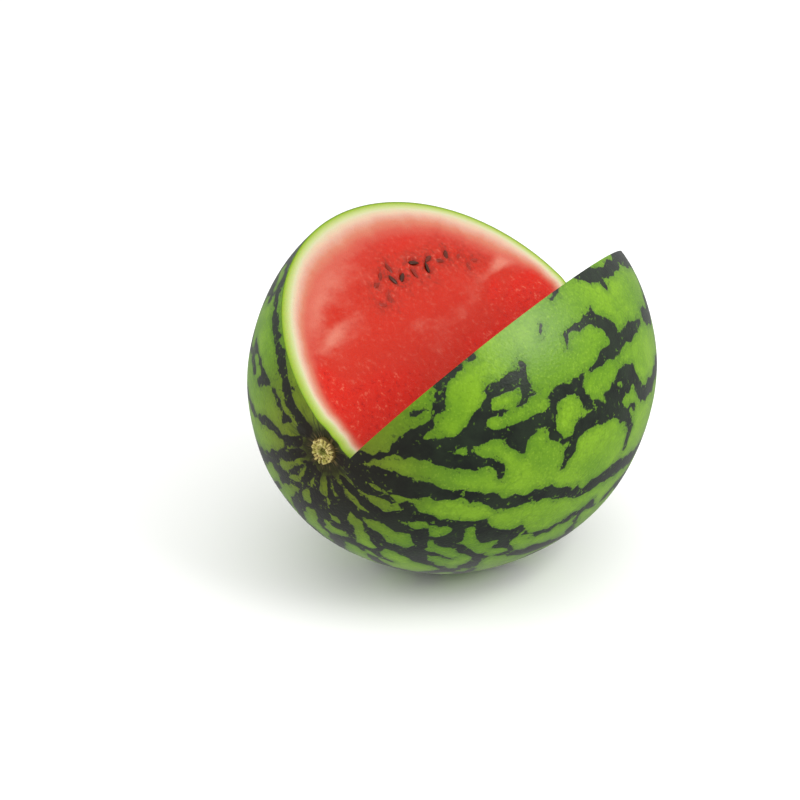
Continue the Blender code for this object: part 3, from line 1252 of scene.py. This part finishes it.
class GeometryTree:
    """A Geometry Nodes tree with named inputs."""

    def __init__(self, name: str, sizes: dict[str, float]) -> None:
        """Makes a tree with a geometry input and output and one number input for each size.

        Args:
            name: the tree's name.
            sizes: the inputs' names and values.
        """
        self.tree = bpy.data.node_groups.new(name, "GeometryNodeTree")
        self.sizes = sizes
        face = self.tree.interface
        face.new_socket("Geometry", in_out="INPUT", socket_type="NodeSocketGeometry")
        for label in sizes:
            face.new_socket(label, in_out="INPUT", socket_type="NodeSocketFloat")
        face.new_socket("Geometry", in_out="OUTPUT", socket_type="NodeSocketGeometry")
        self.nodes = Nodes(self.tree)
        self.entry = self.tree.nodes.new("NodeGroupInput")

    @property
    def geometry(self) -> Wire:
        """The geometry that comes in."""
        return Wire(self.nodes, self.entry.outputs["Geometry"])

    def size(self, label: str) -> Wire:
        """One named input."""
        return Wire(self.nodes, self.entry.outputs[label])

    def named(self, label: str, kind: str = "FLOAT") -> Wire:
        """An attribute of the geometry."""
        settings = {"data_type": kind}
        return self.nodes.add("GeometryNodeInputNamedAttribute", settings, {"Name": label})

    def finish(self, geometry: Wire, dress: list[tuple[bpy.types.Material, Any]]) -> None:
        """Ends the tree with Realize Instances and Set Material.

        Args:
            geometry: what the tree has made.
            dress: each material and the faces that it is for.
        """
        geometry = self.nodes.add("GeometryNodeRealizeInstances", None, {"Geometry": geometry})
        for material, faces in dress:
            inputs = {"Geometry": geometry, "Selection": faces, "Material": material}
            geometry = self.nodes.add("GeometryNodeSetMaterial", None, inputs)
        self.nodes.add("NodeGroupOutput", None, {0: geometry})

    def apply(self, obj: bpy.types.Object, name: str) -> bpy.types.Object:
        """Runs the tree on an object.

        Args:
            obj: the object, which is removed.
            name: the result's name.

        Returns:
            The result, a plain mesh object.
        """
        modifier = obj.modifiers.new(self.tree.name, "NODES")
        modifier.node_group = self.tree
        for item in self.tree.interface.items_tree:
            if item.in_out == "INPUT" and item.name in self.sizes:
                modifier[item.identifier] = self.sizes[item.name]
        return settle(obj, name)


# ---------------------------------------------------------------------------------------------
# Sub-assemblies


@dataclass(frozen=True)
class CutFace:
    """What one cut face is made of. Its column is that of the skin's points that are its rim."""

    cut: Cut
    column: int
    patches: tuple[Patch, ...]
    seeds: list[SeedPlace]


@dataclass
class MelonBody:
    """The rind and flesh, one closed mesh: the skin and the two cut faces, sewn at their edges.

    The rind's sizes are in mm, and the reaches to the fruit's two ends are shares of its half length.
    The pairs for pits, lips and tints are for an unripe seed and a ripe one, and their reaches and
    places are shares of a seed's outline.
    """

    fruit: Fruit
    seeds: dict[str, list[SeedPlace]]
    rows: int = 240
    skin_columns: int = 168
    face_columns: int = 110
    rim_substeps: int = 6
    pole_band: float = 3.0
    rind_line: float = 6.0
    low_spread: float = 1.3
    spread_drop: float = 0.72
    blossom_shrink: float = 0.55
    blossom_reach: Pair = (0.45, 0.85)
    stem_stretch: float = 0.35
    stem_reach: Pair = (0.3, 0.7)
    stem_thinning: float = 2.3
    thin_reach: Pair = (0.4, 0.9)
    thin_depth: float = 3.0
    still_rind: float = 9.0
    still_fold: float = 3 * MM
    pit_margin: float = 0.5 * MM
    pit_depths: Pair = (0.5 * MM, 1.4 * MM)
    lip_heights: Pair = (0.2 * MM, 0.6 * MM)
    pit_tints: Pair = (0.4, 1.0)
    stain_tints: Pair = (0.35, 1.0)
    pit_reach: float = 1.1
    lip_place: float = 1.5
    lip_width: float = 0.35
    stain_reach: float = 2.7
    grain_height: float = 0.16 * MM
    grain_size: float = 2.4 * MM
    swell_height: float = 1.1 * MM
    swell_size: float = 30 * MM

    def make(self) -> bpy.types.Object:
        """Makes the body's mesh, without its finishes.

        Returns:
            The object, which still needs dress().
        """
        dips = np.linspace(0, math.pi, self.rows + 1)
        plain = self.plain_skin(dips)
        skin = self.fruit.grown(plain)
        chord = skin[0, 0] + ((1 - np.cos(dips)) / 2)[:, None] * (skin[-1, 0] - skin[0, 0])
        steps = np.linspace(0, 1, self.face_columns + 1)[1:-1]
        inner = slice(1, self.rows)
        blocks = [skin[0, :1], skin[-1, :1], skin[inner].reshape(-1, 3), chord[inner]]
        for column in (0, -1):
            across = steps[None, :, None] * (skin[:, column] - chord)[:, None]
            blocks.append((chord[:, None] + across)[inner].reshape(-1, 3))
        starts = np.cumsum([0] + [len(block) for block in blocks])
        points = np.vstack(blocks)

        count = self.rows - 1
        skin_at = starts[2] + np.arange(count * (self.skin_columns + 1)).reshape(count, -1)
        chord_at = starts[3] + np.arange(count)
        sheets = [skin_at]
        for first, column in ((starts[4], 0), (starts[5], -1)):
            grid = first + np.arange(count * len(steps)).reshape(count, -1)
            sheets.append(np.column_stack([chord_at, grid, skin_at[:, column]]))
        polygons, owners = self.polygons(sheets)

        names = ("band", "rind", "pallor", "pit", "stain", "mask")
        fields = {name: np.zeros(len(points)) for name in names}
        flat = plain[inner].reshape(-1, 3)
        fields["band"][starts[2] : starts[3]] = BandPattern().depth(self.fruit, flat)
        fields["band"][:2] = self.pole_band
        left = CutFace(self.fruit.left, 0, LEFT_PATCHES, self.seeds["left"])
        right = CutFace(self.fruit.right, -1, RIGHT_PATCHES, self.seeds["right"])
        for face, first in ((left, starts[4]), (right, starts[5])):
            block = slice(first, first + count * len(steps))
            where = np.array([*range(block.start, block.stop), *chord_at.tolist()])
            rim = (skin[:, face.column], self.fruit.normals(plain[:, face.column]))
            self.dress_cut(points, fields, where, face, rim)
            fields["mask"][block] = self.fade(fields["rind"][block], points[block], chord)
        return self.object_of(points, polygons, owners, fields)

    def plain_skin(self, dips: np.ndarray) -> np.ndarray:
        """Spreads the skin's points from the left cut's rim round below to the right cut's.

        Args:
            dips: each row's angle from the stem end, in radians.

        Returns:
            Points on the plain spheroid, by row and column.
        """
        start, along = self.fruit.notch_line()
        up = self.fruit.uphill(self.fruit.left)
        other = np.cross(along, up)
        other *= -np.sign(other @ self.fruit.left.normal)
        opening = math.acos(np.clip(up @ self.fruit.uphill(self.fruit.right), -1, 1))
        turns = np.linspace(0, math.tau - opening, self.skin_columns + 1)
        side = np.cos(turns)[:, None] * up + np.sin(turns)[:, None] * other
        rays = np.sin(dips)[:, None, None] * side - np.cos(dips)[:, None, None] * along
        return self.fruit.on_skin(start, rays)

    @staticmethod
    def polygons(sheets: list[np.ndarray]) -> tuple[list[tuple], np.ndarray]:
        """Faces between the rows of point grids that all close on points 0 and 1.

        Args:
            sheets: the grids of point numbers, the skin's first.

        Returns:
            The faces, and the number of each one's grid.
        """
        polygons: list[tuple] = []
        owners: list[int] = []
        for owner, sheet in enumerate(sheets):
            quads = np.stack([sheet[:-1, :-1], sheet[:-1, 1:], sheet[1:, 1:], sheet[1:, :-1]], -1)
            made = [tuple(quad) for quad in quads.reshape(-1, 4).tolist()]
            made += [(0, b, a) for a, b in zip(sheet[0].tolist(), sheet[0, 1:].tolist())]
            made += [(1, a, b) for a, b in zip(sheet[-1].tolist(), sheet[-1, 1:].tolist())]
            polygons += made
            owners += [owner] * len(made)
        return polygons, np.array(owners)

    def fade(self, rind: np.ndarray, places: np.ndarray, chord: np.ndarray) -> np.ndarray:
        """How much relief a face's points take: none at its edges.

        Args:
            rind: their depth under the skin, in mm.
            places: the points.
            chord: points along the notch's bottom line.

        Returns:
            A share from 0 to 1 for each.
        """
        side = chord[-1] - chord[0]
        side /= np.linalg.norm(side)
        local = places - chord[0]
        from_chord = np.linalg.norm(local - (local @ side)[:, None] * side, axis=1)
        return climb(rind, 0.0, self.still_rind) ** 1.5 * climb(from_chord, 0.0, self.still_fold)

    def dress_cut(
        self,
        points: np.ndarray,
        fields: dict[str, np.ndarray],
        where: np.ndarray,
        face: CutFace,
        rim: tuple[np.ndarray, np.ndarray],
    ) -> None:
        """Gives one cut face its rind depth, pale patches and seed pits.

        Args:
            points: all the body's points, which the pits move.
            fields: the numbers at the points, which are filled in.
            where: the numbers of this face's points.
            face: the face.
            rim: its rim and the skin's normals there.
        """
        start, along = self.fruit.notch_line()
        frame = np.stack([along, self.fruit.uphill(face.cut)], axis=1)
        origin = self.fruit.centre + start
        flat = (points[where] - origin) @ frame
        squareness = np.sqrt(1 - (rim[1] @ face.cut.normal) ** 2)
        depth = self.depth_in(flat, (rim[0] - origin) @ frame, squareness)
        fields["rind"][where] = self.rind_at(flat, depth)

        pallor = np.zeros(len(where))
        for patch in face.patches:
            lean = math.radians(patch.lean)
            away = flat / MM - (patch.along, patch.up)
            level = away[:, 0] * math.cos(lean) + away[:, 1] * math.sin(lean)
            steep = away[:, 1] * math.cos(lean) - away[:, 0] * math.sin(lean)
            pallor += patch.pallor * hump(level, 0.0, patch.length) * hump(steep, 0.0, patch.height)
        fields["pallor"][where] = pallor

        lift, pit, stain = np.zeros((3, len(where)))
        for seed in face.seeds:
            away = points[where] - seed.centre
            half_sizes = seed.half_sizes[:2] + self.pit_margin
            across = np.hypot(*(seed.axes[:2] @ away.T / half_sizes[:, None]))
            ripe = seed.ripeness
            lift -= between(self.pit_depths, ripe) * np.exp(-(across**3))
            lift += between(self.lip_heights, ripe) * hump(across, self.lip_place, self.lip_width)
            under = np.exp(-((across / self.pit_reach) ** 4))
            pit = np.maximum(pit, between(self.pit_tints, ripe) * under)
            stained = hump(across, 0.0, self.stain_reach)
            stain = np.maximum(stain, between(self.stain_tints, ripe) * stained)
        fields["pit"][where] = pit
        fields["stain"][where] = stain
        points[where] += lift[:, None] * face.cut.normal

    def depth_in(self, flat: np.ndarray, rim: np.ndarray, squareness: np.ndarray) -> np.ndarray:
        """How deep under the skin a face's points are.

        Args:
            flat: the points, on the face.
            rim: its rim, on the face.
            squareness: how squarely the cut meets the skin at each rim point, from 0 to 1.

        Returns:
            The depths, in mm.
        """
        last = len(rim) - 1
        index = np.arange(len(rim))
        lengths = np.linspace(0, last, self.rim_substeps * last + 1)
        fine = np.stack([np.interp(lengths, index, rim[:, axis]) for axis in (0, 1)], axis=1)
        squareness = np.interp(lengths, index, squareness)
        depths = []
        for part in np.array_split(flat, math.ceil(len(flat) / 2000)):
            gaps = np.linalg.norm(part[:, None] - fine[None], axis=2)
            nearest = gaps.argmin(axis=1)
            depths.append(gaps[np.arange(len(part)), nearest] * squareness[nearest] / MM)
        return np.concatenate(depths)

    def rind_at(self, flat: np.ndarray, depth: np.ndarray) -> np.ndarray:
        """Shapes the rind: thicker low down and towards the stem, thinner at the blossom end.

        Args:
            flat: a face's points, on the face.
            depth: how deep under the skin they are, in mm.

        Returns:
            The depth at which the rind's layers are looked up, in mm.
        """
        high = np.clip(flat[:, 1] / self.fruit.radius, 0, 1)
        along = flat[:, 0] / self.fruit.half_length
        shrink = self.blossom_shrink * climb(along, *self.blossom_reach) * climb(high, 0.25, 0.5)
        spread = (self.low_spread - self.spread_drop * high**0.8) * (1 - shrink)
        spread *= 1 + self.stem_stretch * climb(-along, *self.stem_reach)
        past_line = self.rind_line + (depth - self.rind_line) * spread
        rind = np.where(depth > self.rind_line, past_line, depth)
        thinning = self.stem_thinning * climb(-along, *self.thin_reach)
        return rind - thinning * (1 - hump(depth, 0.0, self.thin_depth))

    def object_of(
        self, points: np.ndarray, polygons: list[tuple], owners: np.ndarray, fields: dict
    ) -> bpy.types.Object:
        """Makes the mesh object.

        Args:
            points: its points.
            polygons: its faces.
            owners: for each face, 0 for the skin or the number of its cut face.
            fields: the numbers at its points.

        Returns:
            The object.
        """
        mesh = bpy.data.meshes.new("melon_form")
        mesh.from_pydata(points.tolist(), [], polygons)
        for name, values in fields.items():
            store(mesh, name, values)
        store(mesh, "cut", owners > 0, "FACE")
        smooth(mesh, owners)
        return link(bpy.data.objects.new("melon_form", mesh))

    def dress(self, form: bpy.types.Object, skin: Finish, flesh: Finish) -> bpy.types.Object:
        """Gives the body its relief and finishes, and puts it on the frame.

        Args:
            form: what make() returned.
            skin: the skin's finish.
            flesh: the flesh's finish.

        Returns:
            The piece.
        """
        sizes = {
            "Grain height": self.grain_height,
            "Grain size": self.grain_size,
            "Swell height": self.swell_height,
            "Swell size": self.swell_size,
        }
        tree = GeometryTree("flesh_relief", sizes)
        nodes = tree.nodes
        place = nodes.add("GeometryNodeInputPosition")
        heights = []
        for label in ("Grain", "Swell"):
            inputs = {"Vector": place, "Scale": 1 / tree.size(f"{label} size"), "Detail": 2.0}
            rough = nodes.add("ShaderNodeTexNoise", None, inputs) - 0.5
            heights.append(rough * tree.size(f"{label} height"))
        height = (heights[0] + heights[1]) * tree.named("mask") * 2.0
        normal = nodes.add("GeometryNodeInputNormal")
        scaling = {0: normal, "Scale": height}
        offset = nodes.add("ShaderNodeVectorMath", {"operation": "SCALE"}, scaling)
        moving = {"Geometry": tree.geometry, "Offset": offset}
        geometry = nodes.add("GeometryNodeSetPosition", None, moving)
        cut = tree.named("cut", "BOOLEAN")
        whole = nodes.add("FunctionNodeBooleanMath", {"operation": "NOT"}, {0: cut})
        tree.finish(geometry, [(skin.build(), whole), (flesh.build(), cut)])
        body = tree.apply(form, "watermelon_body")
        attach(body, "root")
        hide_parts("melon_body")
        return body


@dataclass
class SeedBand:
    """One cut face's seeds, made as instances on their places.

    The taper, the ridge and the slimming are shares of a seed's size. A seed sinks by the sink times
    its unripe_sink where it's unripe, and by 1 less than that where it's ripe.
    """

    name: str
    nodes: list[str]
    places: list[SeedPlace]
    segments: int = 20
    rings: int = 14
    taper: float = 0.3
    ridge: float = 0.12
    sink: float = 0.5 * MM
    unripe_sink: float = 1.6
    slimming: float = 0.86

    def make(self) -> bpy.types.Object:
        """Makes one point for each seed, with its turn and ripeness.

        Returns:
            The object that the tree works on.
        """
        mesh = bpy.data.meshes.new(f"{self.name}_places")
        sinks = [self.sink * (self.unripe_sink - place.ripeness) for place in self.places]
        centres = [place.centre - sink * place.axes[2] for place, sink in zip(self.places, sinks)]
        mesh.from_pydata([centre.tolist() for centre in centres], [], [])
        turns = [Matrix(place.axes.T.tolist()).to_euler("XYZ") for place in self.places]
        attribute = mesh.attributes.new("turn", "FLOAT_VECTOR", "POINT")
        attribute.data.foreach_set("vector", [angle for turn in turns for angle in turn])
        store(mesh, "ripeness", np.array([place.ripeness for place in self.places]))
        return link(bpy.data.objects.new(f"{self.name}_places", mesh))

    def dress(self, places: bpy.types.Object, finish: Finish) -> bpy.types.Object:
        """Makes the seeds on their places, and puts them on the frame.

        Args:
            places: what make() returned.
            finish: the seed coat's finish.

        Returns:
            The piece.
        """
        half = np.mean([place.half_sizes for place in self.places], axis=0) * (1, self.slimming, 1)
        sizes = {"Half length": half[0], "Half width": half[1], "Half thickness": half[2]}
        sizes = {label: float(size) for label, size in sizes.items()}
        tree = GeometryTree(self.name, {**sizes, "Taper": self.taper, "Ridge": self.ridge})
        nodes = tree.nodes
        inputs = {"Segments": self.segments, "Rings": self.rings, "Radius": 1.0}
        ball = nodes.add("GeometryNodeMeshUVSphere", None, inputs)
        thick, across, length = self.split(nodes, nodes.add("GeometryNodeInputPosition"))
        narrow = 1.0 - (length + 1.0) * 0.5 * tree.size("Taper")
        flatter = 1.0 - tree.size("Ridge") * (across * across)
        parts = {
            0: length * tree.size("Half length"),
            1: across * narrow * tree.size("Half width"),
            2: thick * narrow * flatter * tree.size("Half thickness"),
        }
        shaped = nodes.add("ShaderNodeCombineXYZ", None, parts)
        seed = nodes.add("GeometryNodeSetPosition", None, {"Geometry": ball, "Position": shaped})
        seed = nodes.add("GeometryNodeSetShadeSmooth", None, {0: seed})
        euler = tree.named("turn", "FLOAT_VECTOR")
        turn = nodes.add("FunctionNodeEulerToRotation", None, {0: euler})
        inputs = {"Points": tree.geometry, "Instance": seed, "Rotation": turn}
        seeds = nodes.add("GeometryNodeInstanceOnPoints", None, inputs)
        tree.finish(seeds, [(finish.build(), True)])
        piece = tree.apply(places, self.name)
        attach(piece, "root")
        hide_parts(*self.nodes)
        return piece

    @staticmethod
    def split(nodes: Nodes, vector: Wire) -> list[Wire]:
        """The three parts of a vector."""
        first = nodes.add("ShaderNodeSeparateXYZ", None, {0: vector})
        return [Wire(nodes, output) for output in first.socket.node.outputs]


@dataclass
class StemStub:
    """The corky rosette where the stem broke off.

    Places and widths along its radius are shares of it, from 0 in the middle to 1 at the rim. Its
    knobs, cracks, ring and hollow are shares of its relief.
    """

    box: tuple[np.ndarray, np.ndarray]
    seed: int = 5
    lobes: int = 11
    around: int = 154
    rings: int = 36
    innermost: float = 0.05
    relief: float = 3.4 * MM
    extra: float = 1.0 * MM
    flare: float = 1.15
    pinch: float = 0.12
    plateau: float = 0.55
    rim_place: float = 0.76
    rim_width: float = 0.2
    ring_place: float = 0.4
    ring_width: float = 0.095
    hollow_width: float = 0.25
    shoulder_place: float = 0.86
    knob: float = 0.42
    crack: float = 0.24
    ring: float = 0.2
    hollow: float = 0.28
    roughness: float = 0.08
    shoulder: float = 0.42
    foot_taper: float = 0.04

    def make(self) -> bpy.types.Object:
        """Makes the stub's closed mesh.

        Returns:
            The object.
        """
        low, high = self.box
        centre = (low + high) / 2
        points, crest = self.face(low, high)
        back = high[1] - centre[1]
        wall = points[-1].copy()
        for share in (0.5, 1.0):
            side = wall.copy()
            side[:, 1] += (back - side[:, 1]) * share
            side[:, [0, 2]] *= 1 - self.foot_taper * share
            points.append(side)
        tip = np.array([[0, points[0][:, 1].mean() + 0.1 * MM, 0]])
        cloud = np.vstack([tip, *points, [[0, back, 0]]]) + centre

        loops = [1 + row * self.around + np.arange(self.around) for row in range(len(points))]
        polygons = [(0, int(b), int(a)) for a, b in zip(loops[0], np.roll(loops[0], -1))]
        for first, second in zip(loops, loops[1:]):
            quads = np.stack([first, np.roll(first, -1), np.roll(second, -1), second], 1)
            polygons += [tuple(quad) for quad in quads.tolist()]
        last = len(cloud) - 1
        polygons += [(last, int(a), int(b)) for a, b in zip(loops[-1], np.roll(loops[-1], -1))]
        mesh = bpy.data.meshes.new("stem_rosette")
        mesh.from_pydata(cloud.tolist(), [], polygons)
        store(mesh, "crest", np.concatenate([[0.2], *crest, [0.0]]))
        smooth(mesh)
        return link(bpy.data.objects.new("stem_rosette", mesh))

    def face(self, low: np.ndarray, high: np.ndarray) -> tuple[list[np.ndarray], list[np.ndarray]]:
        """Works out the rosette's broken face, ring by ring from its middle.

        Args:
            low, high: the corners of the stub's box.

        Returns:
            Each ring's points from the box's centre, and how pale each ring is, painted highlight and
            painted shade included, with the pallor of the wall's two rings last.
        """
        radius = (high[0] - low[0]) / 2
        front = low[1] - self.extra - (low[1] + high[1]) / 2
        angles = np.linspace(0, math.tau, self.around, endpoint=False)
        one, two, three, four = np.random.default_rng(self.seed).uniform(0, math.tau, 4)
        bent = angles + 0.22 * np.sin(2 * angles + one) + 0.16 * np.sin(3 * angles + two)
        knob_sizes = 0.68 + 0.32 * np.cos(3 * bent + four) * np.cos(5 * angles + two)
        knobs = (0.5 + 0.5 * np.cos(self.lobes * bent)) ** 0.8
        crooked = 2.0 * self.lobes * bent + 1.5 * np.sin(4 * angles) + three
        cracks = (0.5 + 0.5 * np.cos(crooked)) ** 3
        sway = 0.07 * np.sin(angles + three) + 0.04 * np.sin(3 * angles + one)
        points, crest = [], []
        for share in np.linspace(self.innermost, 1, self.rings):
            rim = hump(share + sway * 0.6, self.rim_place, self.rim_width)
            ring = hump(share + sway, self.ring_place, self.ring_width)
            ring = ring * (0.55 + 0.45 * np.cos(4 * bent + two))
            hollow = hump(share + sway, 0.0, self.hollow_width)
            rough = np.sin(7 * angles + three + 9 * share) * np.cos(5 * angles - 14 * share)
            finer = np.sin(17 * bent + 21 * share) * np.cos(11 * angles - 25 * share + four)
            rough = rough + 0.7 * finer
            shoulder = max(0.0, (share - self.shoulder_place) / (1 - self.shoulder_place))
            tall = self.plateau + rim * (self.knob * knobs * knob_sizes - self.crack * cracks)
            tall = tall + self.ring * ring - self.hollow * hollow + self.roughness * rough
            tall = tall - self.shoulder * shoulder**2
            away = radius * share * (self.flare - self.pinch * (1 - knobs * knob_sizes) * share**3)
            depth = front + (1 - np.clip(tall, 0.02, 1.0)) * self.relief
            points.append(np.stack([away * np.cos(angles), depth, away * np.sin(angles)], 1))
            # Painted light: the knobs are made paler as a painted highlight and the cracks darker as
            # painted shade.
            paleness = 0.5 + rim * (0.38 * knobs - 0.5 * cracks) + 0.45 * ring - 0.15 * hollow
            crest.append(np.clip(paleness + 0.22 * rough - 0.65 * shoulder, 0, 1))
        crest += [0.15 + 0.4 * knobs] * 2
        return points, crest

    def dress(self, stub: bpy.types.Object, finish: Finish) -> bpy.types.Object:
        """Gives the stub its finish and puts it on the frame.

        Args:
            stub: what make() returned.
            finish: the cork's finish.

        Returns:
            The piece.
        """
        stub.data.materials.append(finish.build())
        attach(stub, "root")
        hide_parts("stem_stub")
        return stub


@dataclass(frozen=True)
class Lamp:
    """A square soft light, its place and side in metres and its power in watts."""

    name: str
    place: Place
    side: float
    watts: float
    lights_gloss: bool = True
    lights_matt: bool = True

    def make(self, target: Vector) -> bpy.types.Object:
        """Adds the light.

        Args:
            target: what it looks at.

        Returns:
            The light.
        """
        data = bpy.data.lights.new(self.name, "AREA")
        data.size = self.side
        data.energy = self.watts
        lamp = link(bpy.data.objects.new(self.name, data))
        lamp.location = self.place
        lamp.rotation_euler = (target - Vector(self.place)).to_track_quat("-Z", "Y").to_euler()
        lamp.visible_glossy = self.lights_gloss
        lamp.visible_diffuse = self.lights_matt
        return lamp


@dataclass(frozen=True)
class Studio:
    """The floor, the lights and the camera. Its angles are in degrees."""

    azimuth: float = 34.8
    elevation: float = 24.6
    distance: float = 1.108
    aim_right: float = -31.7 * MM
    aim_up: float = -16.2 * MM
    lens: float = 85.0
    floor_size: float = 30.0
    horizon: float = 0.5
    zenith: float = 1.3
    sky_white: Colour = tint(255, 255, 255)
    lamps: tuple[Lamp, ...] = (
        Lamp("window", (1.05, 0.12, 1.0), 0.85, 12.5),
        Lamp("fill", (-1.15, -0.85, 0.75), 0.9, 6.6, lights_gloss=False),
        Lamp("sheen", (1.05, 0.12, 1.0), 0.85, 5.0, lights_matt=False),
    )

    def floor(self) -> bpy.types.Object:
        """Makes the plain pale floor.

        Returns:
            The floor.
        """
        form = bmesh.new()
        bmesh.ops.create_grid(form, x_segments=1, y_segments=1, size=self.floor_size / 2)
        mesh = bpy.data.meshes.new("floor")
        form.to_mesh(mesh)
        form.free()
        mesh.materials.append(FloorFinish("floor_white", specular=0.1).build())
        floor = link(bpy.data.objects.new("floor", mesh))
        floor.visible_glossy = False
        return floor

    def camera(self, centre: Vector) -> None:
        """Places the camera.

        Args:
            centre: the fruit's centre.
        """
        data = bpy.data.cameras.new("camera")
        data.lens = self.lens
        camera = link(bpy.data.objects.new("camera", data))
        turn = Matrix.Rotation(math.radians(self.azimuth), 3, "Z")
        basis = turn @ Matrix.Rotation(math.radians(90 - self.elevation), 3, "X")
        place = centre + basis @ Vector((self.aim_right, self.aim_up, self.distance))
        camera.matrix_world = Matrix.Translation(place) @ basis.to_4x4()
        bpy.context.scene.camera = camera

    def light(self, centre: Vector) -> None:
        """Sets up the sky and the lamps.

        Args:
            centre: the fruit's centre, which the lamps look at.
        """
        world = bpy.data.worlds.new("studio")
        world.use_nodes = True
        background = world.node_tree.nodes["Background"]
        background.inputs["Color"].default_value = self.sky_white
        sky = Nodes(world.node_tree)
        direction = sky.add("ShaderNodeTexCoord", None, None, "Generated")
        height = sky.add("ShaderNodeSeparateXYZ", None, {0: direction}, 2)
        strength = self.horizon + height.at_least(0.0) * (self.zenith - self.horizon)
        world.node_tree.links.new(strength.socket, background.inputs["Strength"])
        bpy.context.scene.world = world
        for lamp in self.lamps:
            lamp.make(centre)
        bpy.context.scene.view_settings.view_transform = "Standard"


def main() -> None:
    """Builds the watermelon on its frame."""
    logging.basicConfig(level=logging.INFO, format="%(name)s: %(message)s")
    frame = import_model()
    nodes = frame["nodes"]
    fruit = Fruit.measured(nodes["melon_body"])
    sides = {
        side: sorted(name for name in nodes if name.startswith(f"seed_{side}_"))
        for side in ("left", "right")
    }
    ripeness = {"left": LEFT_RIPENESS, "right": RIGHT_RIPENESS}
    places = {
        side: [SeedPlace.measured(nodes[name], ripe) for name, ripe in zip(names, ripeness[side])]
        for side, names in sides.items()
    }

    melon = MelonBody(fruit, places)
    ends = {"stem_end": tuple(fruit.stem_end), "blossom_end": tuple(fruit.blossom_end)}
    skin = SkinFinish("striped_skin", specular=0.3, **ends)
    flesh = FleshFinish("wet_flesh", specular=0.15, under_skin=0.15)
    body = melon.dress(melon.make(), skin, flesh)
    log.info("%s: %d faces", body.name, len(body.data.polygons))

    coat = SeedFinish("seed_coat", coat=0.02, coat_roughness=0.15, specular=0.16)
    for side, names in sides.items():
        band = SeedBand(f"seeds_{side}", names, places[side])
        piece = band.dress(band.make(), coat)
        log.info("%s: %d seeds", piece.name, len(names))

    low, high = (np.array(corner, float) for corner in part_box("stem_stub"))
    stub = StemStub((low, high))
    middle = (float(low[0] + high[0]) / 2, float(low[1]), float(low[2] + high[2]) / 2)
    piece = stub.dress(stub.make(), CorkFinish("stem_cork", specular=0.25, middle=middle))
    log.info("%s: %d faces", piece.name, len(piece.data.polygons))

    studio = Studio()
    centre = Vector(fruit.centre)
    studio.floor()
    studio.camera(centre)
    studio.light(centre)


if __name__ == "__main__":
    main()
